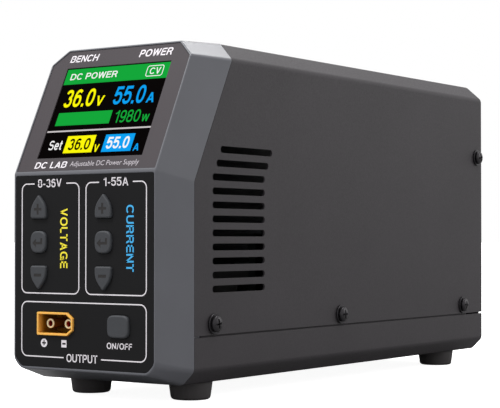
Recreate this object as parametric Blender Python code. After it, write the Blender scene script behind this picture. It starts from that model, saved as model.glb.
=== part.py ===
"""Bench power supply: a tall folded-steel case behind a tapered front bezel.

The bezel's lower half stands upright and carries the keys and the output socket. Its upper
half leans back and carries the display. A fan, a mains inlet and a rocker switch are at the
back, and the power electronics stand on a board inside.

Metres, +Z up. X runs to the right seen from the front, the front faces -Y, and the origin is
on the ground under the middle of the whole object. Depths are measured back from the upright
face, inside an empty named case_frame. Places on the leaning face are measured up its slope
from the kink, inside an empty named slope_frame.
"""

from math import copysign, cos, pi, radians, sin, sqrt, tan

import bmesh
import bpy
from mathutils import Vector

GAP = 0.0003  # between pieces that touch on the real object

# Case
CASE_WIDTH = 0.098
CASE_HEIGHT = 0.160
CASE_DEPTH = 0.3141  # upright face to the rear edge of the sheet metal
FOOT_HEIGHT = 0.0085
SHEET = 0.0012
TOP_CUT_X = 0.0099  # the folded bevel along the top edges
TOP_CUT_Z = 0.0085
BOTTOM_CUT = 0.0066
SEAM_Z = 0.0307  # middle of the seam between cover and chassis
SEAM_GAP = 0.0006
CASE_TOP = FOOT_HEIGHT + CASE_HEIGHT
HALF = CASE_WIDTH / 2

# Vent slots in each side of the cover
SLOT_COUNT = 11
SLOT_PITCH = 0.0065
SLOT_LENGTH = 0.0431
SLOT_HEIGHT = 0.0032
SLOT_LOWEST_Z = 0.05215
SLOT_FRONT = 0.0347
SLOT_STEP = 0.0032  # the top two slots each step back to follow the leaning face
STEPPED_SLOTS = 2

# Front
TILT = radians(26)  # how far the upper face leans back
JOINT_TILT = radians(27)  # the joint with the cover leans a little more
KINK_Z = 0.1063
FACE_HALF = 0.0427
FACE_BOTTOM = 0.0142
FACE_TOP = 0.1679
FACE_BOTTOM_CUT = 0.0044
FACE_CUT_X = 0.0084
FACE_CUT_Z = FACE_CUT_X * TOP_CUT_Z / TOP_CUT_X
FLARE_DEPTH = 0.0169  # where the bezel has widened to the case
BEZEL_DEPTH = 0.0207
BEZEL_WALL = 0.0022
LIP_LENGTH = 0.006  # tongue that slides inside the sheet metal
LIP_WALL = 0.0018
LEDGE_BACK = 0.0046  # rear face of the ledges that carry the two front plates

# Control panel and display plates
PANEL_HALF = 0.0416
PANEL_BOTTOM = 0.0155
PANEL_TOP = 0.1051
PANEL_CUT = 0.0038
PANEL_CUT_ROUND = 0.0040
PLATE = 0.0020
LEDGE_WIDTH = 0.0030
FASCIA_EDGE = 0.0010  # bezel edge to fascia edge
FASCIA_BOTTOM = 0.0013
FASCIA_SUNK = 0.0004
WINDOW_HALF = 0.0318
WINDOW_BOTTOM = 0.0082
WINDOW_TOP = 0.0581
LENS_SUNK = 0.0009
LENS = 0.0010
MODULE_HALF = 0.0345
MODULE_BOTTOM = 0.0052
MODULE_TOP = 0.0610
MODULE_FRONT = 0.0026
MODULE_DEPTH = 0.0040

# Keys
KEY_PROUD = 0.0013
KEY_HALF_WIDTH = 0.0049
KEY_HALF_HEIGHT = 0.00555
KEY_SHOULDER = -0.0006  # height of the roof's eaves above the key's middle
KEY_APEX = 0.00595
KEY_FOOT_ROUND = 0.0013
KEY_SHOULDER_ROUND = 0.0035
KEY_TIP_ROUND = 0.0007
KEY_EDGE = 0.0004  # bevel round the front of a key
ENTER_KEY = (0.0049, 0.0052, 3.3)  # half width, half height and squareness
KEY_FLANGE = 0.0009
KEY_FLANGE_BACK = 0.0034
KEY_STEM_END = 0.0061
KEY_STEM_SHARE = 0.3
KEY_COLUMNS = {"voltage": -0.02655, "current": 0.01290}
KEY_ROWS = {"up": 0.09045, "enter": 0.07395, "down": 0.05730}
OUTPUT_KEY_AT = (0.0217, 0.0356)
OUTPUT_KEY = (0.00625, 0.0052, 4.2)
BOARD_FRONT = 0.0080
BOARD = 0.0016
SWITCH_FRONT = 0.0072
KEY_SWITCH = 0.006
CONTROL_BOARD_HALF = 0.037
CONTROL_BOARD_Z = (0.024, 0.048, 0.101)  # bottom on the right, bottom on the left, top
CONTROL_BOARD_STEP_X = 0.006

# Output socket
SOCKET_AT = (-0.0162, 0.0358)
SOCKET_SIZE = (0.0220, 0.0108)
SOCKET_CUT = (0.0036, 0.0026)
SOCKET_WALL = 0.0010
SOCKET_PROUD = 0.0010
SOCKET_FLOOR = 0.0125
SOCKET_BACK = 0.0145
CONTACT_SPACING = 0.0112
CONTACT_RADIUS = 0.0023
CONTACT_BORE = 0.0014
CONTACT_FRONT = 0.0023
CONTACT_BACK = 0.0220
CONTACT_BORE_DEPTH = 0.0120
SOCKET_FLANGE = 0.0012
SOCKET_FLANGE_DEPTH = 0.0020
LEAD_RADIUS = 0.0022
TERMINAL_FRONT = 0.0600
TERMINAL_WIRE_Z = 0.0250

# Screws and feet
SCREW_SHANK = 0.0019
SCREW_HOLE = SCREW_SHANK + GAP
SIDE_SCREWS = [(0.0357, 0.0362), (0.1484, 0.0362), (0.2878, 0.0362), (0.3074, 0.1246)]
SIDE_SCREW_LENGTH = 0.0060
WASHER = (0.0048, 0.0010)
SIDE_HEAD = (0.0040, 0.0023)
FOOT_X = 0.0305
FOOT_DEPTHS = (0.0426, 0.289)
FOOT_RADII = (0.0095, 0.0104)
FOOT_EDGE = 0.0012
FOOT_RECESS = 0.0050
FOOT_SEAT = 0.0032
FOOT_HEAD = (0.0040, 0.0020)
FOOT_SCREW_LENGTH = 0.0040  # above the chassis floor

# Back
REAR_PANEL = (0.3116, 0.3131)
REAR_FACE = REAR_PANEL[1]
FAN_Z = 0.113
FAN_SIZE = 0.080
FAN_DEPTH = 0.025
FAN_HOLES = 0.0715 / 2
FAN_BORE = 0.0382
FAN_BACK = REAR_PANEL[0] - GAP
STRUT_DEPTH = 0.0030
STRUT_HALF = 0.0016
BEARING_RADIUS = 0.017
BLADES = 7
HUB_RADIUS = 0.0165
HUB_LENGTH = 0.019
ROTOR_MIDDLE = FAN_BACK - 0.0135
BLADE_STATIONS = ((0.0150, 0.95, 0.0110), (0.0260, 0.75, 0.0155), (0.0360, 0.60, 0.0190))
GUARD_WIRE = 0.0009
GUARD_RINGS = (0.038, 0.0275, 0.017)
GUARD_DISC = (0.0075, 0.0012)
EYELET_RADIUS = 0.0040
FAN_HEAD = (0.0039, 0.0022)
FAN_SCREW_LENGTH = 0.0140
REAR_PART_DEPTH = 0.024  # how far the inlet and the switch reach in
INLET_AT = (-0.018, 0.042)
INLET_BODY = (0.0320, 0.0245)
INLET_FLANGE = (0.0370, 0.0295)
INLET_MOUTH = (0.0274, 0.0200)
INLET_PINS = {"live": (-0.0065, -0.0030), "neutral": (0.0065, -0.0030), "earth": (0.0, 0.0040)}
PIN_SIZE = (0.0080, 0.0020)
INLET_MOUTH_DEPTH = 0.018
SWITCH_AT = (0.024, 0.042)
SWITCH_BODY = (0.0220, 0.0270)
SWITCH_FLANGE = (0.0250, 0.0330)
ROCKER_SIZE = (0.0182, 0.0236)
ROCKER_SWING = radians(20)
ROCKER_PIVOT = 0.3130
ROCKER_PROFILE = {"tip": 0.0024, "waist": 0.0008, "keel": -0.0030}
ROCKER_WELL = 0.0062
FLANGE = 0.0020

# Electronics
BOARD_Z = 0.0170
BOARD_TOP = BOARD_Z + BOARD + GAP
MAIN_BOARD = (0.043, 0.050, 0.280)
STANDOFFS = [(x, y) for x in (-0.038, 0.038) for y in (0.056, 0.272)]
STANDOFF_RADIUS = 0.0035
FINS = 5
FIN = 0.0030
FIN_TIP, FIN_ROOT, HEATSINK_BACK = 0.030, 0.038, 0.042  # distances from the middle of the case
HEATSINKS = {"primary": (-1, 0.085, 0.215, 0.088), "secondary": (1, 0.080, 0.200, 0.078)}
TRANSFORMER = ((-0.024, 0.108), (0.024, 0.150), 0.060)  # low corner, high corner, top
WINDING = (0.030, 0.040, 0.103, 0.155)  # width, middle height, front, back
CHOKES = {  # x, y, inner radius, outer radius, height
    "pfc_choke": (0.020, 0.252, 0.009, 0.021, 0.020),
    "output_choke": (0.012, 0.083, 0.006, 0.015, 0.014),
}
FILTER_CHOKE = ((-0.036, 0.238), (-0.010, 0.266), 0.046)
CAPACITOR = (0.0175, 0.050)
CAPACITOR_DEPTHS = (0.176, 0.2125)
TERMINAL_BLOCK = (0.011, 0.014, 0.032)  # half width, depth, top

# The whole object reaches from the key tops to the fan screw heads
REAR_REACH = REAR_FACE + GAP + 2 * GUARD_WIRE + GAP + FAN_HEAD[1]
FACE_Y = (KEY_PROUD - REAR_REACH) / 2


# ---------------------------------------------------------------- outlines

def inset(outline, distance):
    """The closed outline, anticlockwise, moved inwards by distance with mitred corners."""
    points = []
    for i, here in enumerate(outline):
        before = Vector(here) - Vector(outline[i - 1])
        after = Vector(outline[(i + 1) % len(outline)]) - Vector(here)
        before.normalize()
        after.normalize()
        normal_in = Vector((-before.y, before.x))
        normal_out = Vector((-after.y, after.x))
        mitre = normal_in + normal_out
        mitre *= distance / mitre.dot(normal_in)
        points.append((here[0] + mitre.x, here[1] + mitre.y))
    return points


def rounded(outline, radii, steps=2):
    """The closed outline with each corner turned into an arc; a radius of 0 leaves it sharp."""
    points = []
    for i, (here, radius) in enumerate(zip(outline, radii)):
        if not radius:
            points.append(here)
            continue
        corner = Vector(here)
        to_last = (Vector(outline[i - 1]) - corner).normalized()
        to_next = (Vector(outline[(i + 1) % len(outline)]) - corner).normalized()
        turn = to_last.angle(to_next)
        start = corner + to_last * radius / tan(turn / 2)
        end = corner + to_next * radius / tan(turn / 2)
        centre = corner + (to_last + to_next).normalized() * radius / sin(turn / 2)
        for step in range(steps + 1):
            along = start.lerp(end, step / steps) - centre
            points.append(tuple(centre + along.normalized() * radius))
    return points


def rectangle(width, height, centre=(0, 0)):
    x, y = centre
    w, h = width / 2, height / 2
    return [(x - w, y - h), (x + w, y - h), (x + w, y + h), (x - w, y + h)]


def circle(radius, sides, centre=(0, 0)):
    turns = [2 * pi * (i + 0.5) / sides for i in range(sides)]
    return [(centre[0] + radius * cos(a), centre[1] + radius * sin(a)) for a in turns]


def squircle(half_width, half_height, squareness, sides=20):
    """A soft rectangle with slightly bulging sides."""
    points = []
    for i in range(sides):
        turn = 2 * pi * (i + 0.5) / sides
        x = copysign(abs(cos(turn)) ** (2 / squareness), cos(turn))
        z = copysign(abs(sin(turn)) ** (2 / squareness), sin(turn))
        points.append((half_width * x, half_height * z))
    return points


def slot(front, back, middle, height, steps=3):
    """A slot with round ends, lying along the first axis."""
    radius = height / 2
    angles = [pi * i / steps - pi / 2 for i in range(steps + 1)]
    rear = [(back - radius + radius * cos(a), middle + radius * sin(a)) for a in angles]
    fore = [(front + radius - radius * cos(a), middle - radius * sin(a)) for a in angles]
    return rear + fore


def eight_sided(half, bottom, top, bottom_cut, cut_x, cut_z):
    """The case's section: a rectangle with cut corners, starting low on the right side."""
    right = [(half, bottom + bottom_cut), (half, top - cut_z), (half - cut_x, top)]
    left = [(-half + cut_x, top), (-half, top - cut_z), (-half, bottom + bottom_cut)]
    return right + left + [(-half + bottom_cut, bottom), (half - bottom_cut, bottom)]


def case_section():
    return eight_sided(HALF, FOOT_HEIGHT, CASE_TOP, BOTTOM_CUT, TOP_CUT_X, TOP_CUT_Z)


def bezel_section(depth):
    """The bezel's outside at a depth: it widens evenly until it meets the case's section."""
    face = eight_sided(FACE_HALF, FACE_BOTTOM, FACE_TOP, FACE_BOTTOM_CUT, FACE_CUT_X, FACE_CUT_Z)
    share = min(depth / FLARE_DEPTH, 1)
    return [Vector(a).lerp(Vector(b), share)[:] for a, b in zip(face, case_section())]


def panel_outline():
    """The upright plate: square at the top, with its two bottom corners cut and rounded."""
    half, low, soft = PANEL_HALF, PANEL_BOTTOM, PANEL_CUT_ROUND
    upper = [(half, low + PANEL_CUT), (half, PANEL_TOP), (-half, PANEL_TOP), (-half, low + PANEL_CUT)]
    lower = [(-half + PANEL_CUT, low), (half - PANEL_CUT, low)]
    return rounded(upper + lower, (soft, 0, 0, soft, soft, soft))


def fascia_outline():
    """The display's plate on the slope: the leaning face's outline, less an even edge."""
    length = (FACE_TOP - KINK_Z) / cos(TILT)
    cut = FACE_CUT_Z / cos(TILT)
    face = [
        (FACE_HALF, FASCIA_BOTTOM - FASCIA_EDGE),
        (FACE_HALF, length - cut),
        (FACE_HALF - FACE_CUT_X, length),
        (-FACE_HALF + FACE_CUT_X, length),
        (-FACE_HALF, length - cut),
        (-FACE_HALF, FASCIA_BOTTOM - FASCIA_EDGE),
    ]
    return inset(face, FASCIA_EDGE)


def key_outline(kind):
    """Roof-shaped for up and down, a soft square for enter and output."""
    if kind == "enter":
        return squircle(*ENTER_KEY)
    if kind == "output":
        return squircle(*OUTPUT_KEY)
    w, foot = KEY_HALF_WIDTH, -KEY_HALF_HEIGHT
    house = [(w, foot), (w, KEY_SHOULDER), (0, KEY_APEX), (-w, KEY_SHOULDER), (-w, foot)]
    soft = (KEY_FOOT_ROUND, KEY_SHOULDER_ROUND, KEY_TIP_ROUND, KEY_SHOULDER_ROUND, KEY_FOOT_ROUND)
    house = rounded(house, soft)
    return house if kind == "up" else [(-x, -z) for x, z in house]


def socket_outline():
    """Square at the positive end, with both corners cut at the negative end."""
    w, h = SOCKET_SIZE[0] / 2, SOCKET_SIZE[1] / 2
    cut_x, cut_z = SOCKET_CUT
    right = [(w - cut_x, -h), (w, -h + cut_z), (w, h - cut_z), (w - cut_x, h)]
    return right + [(-w, h), (-w, -h)]


def moved(outline, centre):
    return [(x + centre[0], z + centre[1]) for x, z in outline]


# ---------------------------------------------------------------- mesh building

def to_mesh(name, mesh_in_progress):
    """Merges doubled points, turns the faces outwards and shades round parts smooth."""
    bmesh.ops.remove_doubles(mesh_in_progress, verts=mesh_in_progress.verts, dist=1e-6)
    bmesh.ops.recalc_face_normals(mesh_in_progress, faces=mesh_in_progress.faces)
    mesh = bpy.data.meshes.new(name)
    mesh_in_progress.to_mesh(mesh)
    mesh_in_progress.free()
    mesh.shade_smooth()
    mesh.set_sharp_from_angle(angle=radians(35))
    return mesh


def lofted(name, loops):
    """A closed solid through loops that all have the same number of points."""
    work = bmesh.new()
    rings = [[work.verts.new(point) for point in loop] for loop in loops]
    for near, far in zip(rings, rings[1:]):
        for i in range(len(near)):
            work.faces.new((near[i - 1], near[i], far[i], far[i - 1]))
    work.faces.new(rings[0])
    work.faces.new(rings[-1])
    return to_mesh(name, work)


def in_plane(outline, axis, height):
    """Outline points (a, b) as points in space on the plane where the axis has the height."""
    if axis == "X":
        return [(height, a, b) for a, b in outline]
    if axis == "Y":
        return [(a, height, b) for a, b in outline]
    return [(a, b, height) for a, b in outline]


def extruded(name, outline, axis, start, end):
    return lofted(name, [in_plane(outline, axis, start), in_plane(outline, axis, end)])


def stepped(name, layers):
    """A solid along Y whose section changes: layers are (outline, start, end)."""
    loops = []
    for outline, start, end in layers:
        loops.append(in_plane(outline, "Y", start))
        loops.append(in_plane(outline, "Y", end))
    return lofted(name, loops)


def kinked(name, sections):
    """A solid through (section, depth) pairs that all bend back at the kink, like the face."""
    work = bmesh.new()
    rings = []
    for section, depth in sections:
        lean = TILT if depth < FLARE_DEPTH else JOINT_TILT
        kink_z = KINK_Z - depth * tan(TILT / 2)
        right, left = (section[0][0], kink_z), (section[5][0], kink_z)
        outline = section[:1] + [right] + section[1:5] + [left] + section[5:]
        bent = [(x, depth + max(0, z - kink_z) * tan(lean), z) for x, z in outline]
        rings.append([work.verts.new(point) for point in bent])
    for near, far in zip(rings, rings[1:]):
        for i in range(len(near)):
            work.faces.new((near[i - 1], near[i], far[i], far[i - 1]))
    for ring in (rings[0], rings[-1]):
        work.faces.new([ring[i] for i in (0, 1, 6, 7, 8, 9)])
        work.faces.new([ring[i] for i in (1, 2, 3, 4, 5, 6)])
    return to_mesh(name, work)


def turned(name, profile, sides, closed=False):
    """A profile of (radius, height) points spun about Z. An open one starts and ends on Z."""
    work = bmesh.new()
    points = [work.verts.new((radius, 0, height)) for radius, height in profile]
    edges = [work.edges.new(pair) for pair in zip(points, points[1:])]
    if closed:
        edges.append(work.edges.new((points[-1], points[0])))
    bmesh.ops.spin(
        work, geom=points + edges, axis=(0, 0, 1), cent=(0, 0, 0), steps=sides, angle=2 * pi, use_merge=True
    )
    return to_mesh(name, work)


def rod(name, radius, length, sides=16):
    return turned(name, [(0, 0), (radius, 0), (radius, length), (0, length)], sides)


TOWARDS = {
    "+X": (0, pi / 2, 0),
    "-X": (0, -pi / 2, 0),
    "+Y": (-pi / 2, 0, 0),
    "-Y": (pi / 2, 0, 0),
    "+Z": (0, 0, 0),
}


# ---------------------------------------------------------------- objects

def material(name, srgb, roughness, metallic=0.0):
    """A Principled BSDF with its colour given as 8-bit sRGB."""
    made = bpy.data.materials.new(name)
    made.use_nodes = True
    shader = made.node_tree.nodes["Principled BSDF"]
    shares = [channel / 255 for channel in srgb]
    linear = [s / 12.92 if s <= 0.04045 else ((s + 0.055) / 1.055) ** 2.4 for s in shares]
    shader.inputs["Base Color"].default_value = (*linear, 1)
    shader.inputs["Roughness"].default_value = roughness
    shader.inputs["Metallic"].default_value = metallic
    return made


def empty(name, location, rotation=(0, 0, 0), parent=None):
    frame = bpy.data.objects.new(name, None)
    bpy.context.collection.objects.link(frame)
    frame.location = location
    frame.rotation_euler = rotation
    frame.parent = parent
    return frame


def place(name, mesh, surface, location=(0, 0, 0), rotation=(0, 0, 0), parent=None):
    """One object of the model. It sits in case_frame unless another parent is named."""
    piece = bpy.data.objects.new(name, mesh)
    bpy.context.collection.objects.link(piece)
    piece.parent = parent or bpy.data.objects["case_frame"]
    piece.location = location
    piece.rotation_euler = rotation
    if surface:
        mesh.materials.append(bpy.data.materials[surface])
    return piece


def boolean(piece, operation, mesh, location=(0, 0, 0), rotation=(0, 0, 0), parent=None):
    """Adds or cuts a shape with a Boolean modifier. The shape stays as a hidden guide."""
    guide = place(mesh.name, mesh, None, location, rotation, parent or piece.parent)
    guide.hide_render = True
    guide.display_type = "WIRE"
    modifier = piece.modifiers.new(mesh.name, "BOOLEAN")
    modifier.operation = operation
    modifier.solver = "EXACT"
    modifier.object = guide


def cut(piece, mesh, **where):
    boolean(piece, "DIFFERENCE", mesh, **where)


def add(piece, mesh, **where):
    boolean(piece, "UNION", mesh, **where)


def side_hole(piece, depth, height):
    """A screw hole through both sides of a piece."""
    outline = circle(SCREW_HOLE, 10, (depth, height))
    cut(piece, extruded("guide_side_hole", outline, "X", -HALF - 0.01, HALF + 0.01))


# ---------------------------------------------------------------- sheet metal

def top_cover():
    """Folded cover: two sides and a top with bevelled edges, cut to follow the bezel."""
    outer = case_section()
    inner = inset(outer, SHEET)
    foot = SEAM_Z + SEAM_GAP / 2
    outline = [(HALF, foot)] + outer[1:5] + [(-HALF, foot), (-HALF + SHEET, foot)]
    outline += inner[4:0:-1] + [(HALF - SHEET, foot)]
    cover = place("top_cover", extruded("top_cover", outline, "Y", 0, CASE_DEPTH), "painted_steel")

    front = BEZEL_DEPTH + GAP
    kink_z = KINK_Z - front * tan(TILT / 2)
    above = CASE_TOP + 0.01
    wedge = [(-0.01, 0), (front, 0), (front, kink_z)]
    wedge += [(front + (above - kink_z) * tan(JOINT_TILT), above), (-0.01, above)]
    cut(cover, extruded("guide_cover_front", wedge, "X", -HALF - 0.01, HALF + 0.01))

    for i in range(SLOT_COUNT):
        back_step = max(0, i - (SLOT_COUNT - 1 - STEPPED_SLOTS)) * SLOT_STEP
        start = SLOT_FRONT + back_step
        outline = slot(start, start + SLOT_LENGTH, SLOT_LOWEST_Z + i * SLOT_PITCH, SLOT_HEIGHT)
        cut(cover, extruded("guide_vent_slot", outline, "X", -HALF - 0.01, HALF + 0.01))
    for depth, height in SIDE_SCREWS:
        side_hole(cover, depth, height)


def bottom_chassis():
    """Tray with joggled flanges that reach up inside the cover, and four board standoffs."""
    outer = case_section()
    inner = inset(outer, SHEET)
    rim = SEAM_Z - SEAM_GAP / 2
    section = [(-HALF, rim), outer[5], outer[6], outer[7], outer[0], (HALF, rim)]
    section += [(HALF - SHEET, rim), inner[0], inner[7], inner[6], inner[5], (-HALF + SHEET, rim)]
    mesh = extruded("bottom_chassis", section, "Y", BEZEL_DEPTH + GAP, CASE_DEPTH)
    tray = place("bottom_chassis", mesh, "painted_steel")

    outside = HALF - SHEET - GAP
    for side in (1, -1):
        weld = HALF - SHEET / 2  # the flange's foot is sunk into the tray's side by half a sheet
        flange = [(outside - SHEET, rim - 0.0014), (weld, rim - 0.0014), (weld, rim - 0.0002)]
        flange += [(outside, rim - 0.0002), (outside, 0.044), (outside - SHEET, 0.044)]
        flange = [(side * x, z) for x, z in flange]
        start = BEZEL_DEPTH + LIP_LENGTH + 2 * GAP
        add(tray, extruded("guide_flange", flange, "Y", start, 0.296))
    for x, y in STANDOFFS:
        top = BOARD_Z - GAP
        floor = FOOT_HEIGHT + SHEET / 2
        add(tray, rod("guide_standoff", STANDOFF_RADIUS, top - floor, 10), location=(x, y, floor))
    for depth, height in SIDE_SCREWS[:3]:
        side_hole(tray, depth, height)
    for side in (1, -1):
        for depth in FOOT_DEPTHS:
            hole = rod("guide_foot_hole", SCREW_HOLE, 0.01, 10)
            cut(tray, hole, location=(side * FOOT_X, depth, FOOT_HEIGHT - 0.004))


def rear_panel():
    """Back plate with forward flanges, opened for the fan, the inlet and the switch."""
    outline = inset(case_section(), SHEET + GAP)
    panel = place("rear_panel", extruded("rear_panel", outline, "Y", *REAR_PANEL), "painted_steel")
    outside = HALF - SHEET - GAP
    thick = REAR_PANEL[1] - REAR_PANEL[0]
    for side in (1, -1):
        flange = rectangle(thick, 0.090, (side * (outside - thick / 2), 0.105))
        add(panel, extruded("guide_side_flange", flange, "Y", 0.298, REAR_FACE - thick / 2))
    shelf = rectangle(0.070, thick, (0, FOOT_HEIGHT + SHEET + GAP + thick / 2))
    add(panel, extruded("guide_bottom_flange", shelf, "Y", 0.298, REAR_FACE - thick / 2))

    holes = [circle(0.038, 28, (0, FAN_Z))]
    holes += [circle(SCREW_HOLE, 10, place_of) for place_of in fan_corners()]
    holes.append(rectangle(INLET_BODY[0] + 2 * GAP, INLET_BODY[1] + 2 * GAP, INLET_AT))
    holes.append(rectangle(SWITCH_BODY[0] + 2 * GAP, SWITCH_BODY[1] + 2 * GAP, SWITCH_AT))
    for hole in holes:
        cut(panel, extruded("guide_panel_hole", hole, "Y", REAR_PANEL[0] - 0.004, REAR_FACE + 0.004))
    side_hole(panel, *SIDE_SCREWS[3])


# ---------------------------------------------------------------- front

def front_bezel():
    """Tapered shell with a pocket and a window for each front plate, and a rear tongue."""
    tongue = inset(case_section(), SHEET + GAP)
    outside = [(bezel_section(depth), depth) for depth in (0, FLARE_DEPTH, BEZEL_DEPTH)]
    outside += [(tongue, BEZEL_DEPTH), (tongue, BEZEL_DEPTH + LIP_LENGTH)]
    bezel = place("front_bezel", kinked("front_bezel", outside), "bezel_plastic")

    inner = inset(tongue, LIP_WALL)
    hollow = [(inset(bezel_section(LEDGE_BACK), BEZEL_WALL), LEDGE_BACK)]
    hollow += [(inner, FLARE_DEPTH), (inner, BEZEL_DEPTH + LIP_LENGTH + 0.01)]
    cut(bezel, kinked("guide_bezel_hollow", hollow))

    ahead = -0.008
    pocket = inset(panel_outline(), -GAP)
    window = inset(panel_outline(), LEDGE_WIDTH)
    cut(bezel, extruded("guide_panel_pocket", pocket, "Y", ahead, PLATE + GAP))
    cut(bezel, extruded("guide_panel_window", window, "Y", ahead, LEDGE_BACK + 0.001))

    slope = bpy.data.objects["slope_frame"]
    pocket = inset(fascia_outline(), -GAP)
    height = MODULE_TOP - MODULE_BOTTOM + 0.003
    middle = (MODULE_TOP + MODULE_BOTTOM) / 2
    window = rectangle(2 * MODULE_HALF + 0.003, height, (0, middle))
    cut(bezel, extruded("guide_fascia_pocket", pocket, "Y", ahead, FASCIA_SUNK + PLATE + GAP), parent=slope)
    cut(bezel, extruded("guide_display_window", window, "Y", ahead, LEDGE_BACK + 0.002), parent=slope)


def control_panel():
    """Black plate of the upright face, with an opening for each key and for the socket."""
    plate = place("control_panel", extruded("control_panel", panel_outline(), "Y", 0, PLATE), "panel_black")
    openings = [moved(key_outline(kind), centre) for kind, centre in key_places().values()]
    openings.append(moved(socket_outline(), SOCKET_AT))
    for opening in openings:
        cut(plate, extruded("guide_key_hole", inset(opening, -GAP), "Y", -0.003, PLATE + 0.003))


def display_fascia():
    """Plate of the leaning face, open over the screen."""
    slope = bpy.data.objects["slope_frame"]
    front, back = FASCIA_SUNK, FASCIA_SUNK + PLATE
    mesh = extruded("display_fascia", fascia_outline(), "Y", front, back)
    plate = place("display_fascia", mesh, "fascia_grey", parent=slope)
    middle = (WINDOW_TOP + WINDOW_BOTTOM) / 2
    window = rectangle(2 * WINDOW_HALF, WINDOW_TOP - WINDOW_BOTTOM, (0, middle))
    cut(plate, extruded("guide_screen_window", window, "Y", front - 0.003, back + 0.003), parent=slope)


def display_lens():
    slope = bpy.data.objects["slope_frame"]
    middle = (WINDOW_TOP + WINDOW_BOTTOM) / 2
    outline = rectangle(2 * (WINDOW_HALF - GAP), WINDOW_TOP - WINDOW_BOTTOM - 2 * GAP, (0, middle))
    mesh = extruded("display_lens", outline, "Y", LENS_SUNK, LENS_SUNK + LENS)
    place("display_lens", mesh, "screen_glass", parent=slope)


def display_module():
    """Panel of the screen with its metal frame, behind the fascia."""
    slope = bpy.data.objects["slope_frame"]
    middle = (MODULE_TOP + MODULE_BOTTOM) / 2
    front = MODULE_FRONT + GAP
    outline = rectangle(2 * MODULE_HALF, MODULE_TOP - MODULE_BOTTOM, (0, middle))
    mesh = extruded("display_module", outline, "Y", front, front + MODULE_DEPTH)
    place("display_module", mesh, "module_metal", parent=slope)


def key_places():
    """The kind and the centre of each key, by name."""
    places = {}
    for column, x in KEY_COLUMNS.items():
        for row, z in KEY_ROWS.items():
            places[f"{column}_{row}_key"] = (row, (x, z))
    places["output_key"] = ("output", OUTPUT_KEY_AT)
    return places


def key(name, kind, centre):
    """Key cap with a retaining flange behind the panel and a stem that meets its switch."""
    outline = key_outline(kind)
    stem = [(x * KEY_STEM_SHARE, z * KEY_STEM_SHARE) for x, z in outline]
    layers = [
        (inset(outline, KEY_EDGE), -KEY_PROUD, -KEY_PROUD),
        (outline, -KEY_PROUD + KEY_EDGE, PLATE + GAP),
        (inset(outline, -KEY_FLANGE), PLATE + GAP, KEY_FLANGE_BACK),
        (stem, KEY_FLANGE_BACK, KEY_STEM_END),
    ]
    mesh = stepped(name, layers)
    place(name, mesh, "key_rubber", location=(centre[0], 0, centre[1]))


def control_board():
    """L-shaped circuit board behind the keys, with one small switch under each stem."""
    half, step = CONTROL_BOARD_HALF, CONTROL_BOARD_STEP_X
    low, middle, high = CONTROL_BOARD_Z
    outline = [(-half, middle), (step, middle), (step, low), (half, low), (half, high), (-half, high)]
    mesh = extruded("control_board", outline, "Y", BOARD_FRONT, BOARD_FRONT + BOARD)
    board = place("control_board", mesh, "board_green")
    for kind, centre in key_places().values():
        switch = rectangle(KEY_SWITCH, KEY_SWITCH, centre)
        add(board, extruded("guide_key_switch", switch, "Y", SWITCH_FRONT, BOARD_FRONT + BOARD / 2))


def output_socket():
    """Keyed shell round the two contacts, held by a flange behind the panel."""
    outline = moved(socket_outline(), SOCKET_AT)
    seat = PLATE + GAP
    layers = [
        (outline, -SOCKET_PROUD, seat),
        (inset(outline, -SOCKET_FLANGE), seat, seat + SOCKET_FLANGE_DEPTH),
        (outline, seat + SOCKET_FLANGE_DEPTH, SOCKET_BACK),
    ]
    shell = place("output_socket", stepped("output_socket", layers), "socket_amber")
    mouth = inset(outline, SOCKET_WALL)
    cut(shell, extruded("guide_socket_mouth", mouth, "Y", -SOCKET_PROUD - 0.002, SOCKET_FLOOR))
    for x in contact_places().values():
        hole = circle(CONTACT_RADIUS + GAP, 16, (x, SOCKET_AT[1]))
        cut(shell, extruded("guide_contact_hole", hole, "Y", SOCKET_FLOOR - 0.002, SOCKET_BACK + 0.002))


def contact_places():
    return {"positive": SOCKET_AT[0] - CONTACT_SPACING / 2, "negative": SOCKET_AT[0] + CONTACT_SPACING / 2}


def contacts():
    """Two plated tubes, open at the front and solid where the leads are soldered on."""
    length = CONTACT_BACK - CONTACT_FRONT
    profile = [(0, CONTACT_BORE_DEPTH), (CONTACT_BORE, CONTACT_BORE_DEPTH), (CONTACT_BORE, 0)]
    profile += [(CONTACT_RADIUS, 0), (CONTACT_RADIUS, length), (0, length)]
    for pole, x in contact_places().items():
        name = f"{pole}_contact"
        at = (x, CONTACT_FRONT, SOCKET_AT[1])
        place(name, turned(name, profile, 20), "contact_gold", location=at, rotation=TOWARDS["+Y"])


def leads():
    """Output leads: straight back off the contacts, down in an S, straight into the terminals."""
    start, end = CONTACT_BACK + GAP, TERMINAL_FRONT - GAP
    drop = SOCKET_AT[1] - TERMINAL_WIRE_Z
    steps = 12
    for pole, x in contact_places().items():
        curve = bpy.data.curves.new(f"{pole}_lead", "CURVE")
        curve.dimensions = "3D"
        curve.bevel_depth = LEAD_RADIUS
        curve.bevel_resolution = 2
        curve.use_fill_caps = True
        spline = curve.splines.new("POLY")
        spline.points.add(steps)
        for i, point in enumerate(spline.points):
            share = i / steps
            fall = share * share * (3 - 2 * share)
            point.co = (x, start + share * (end - start), SOCKET_AT[1] - drop * fall, 1)
        place(f"{pole}_lead", curve, f"lead_{pole}")


# ---------------------------------------------------------------- screws and feet

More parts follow.
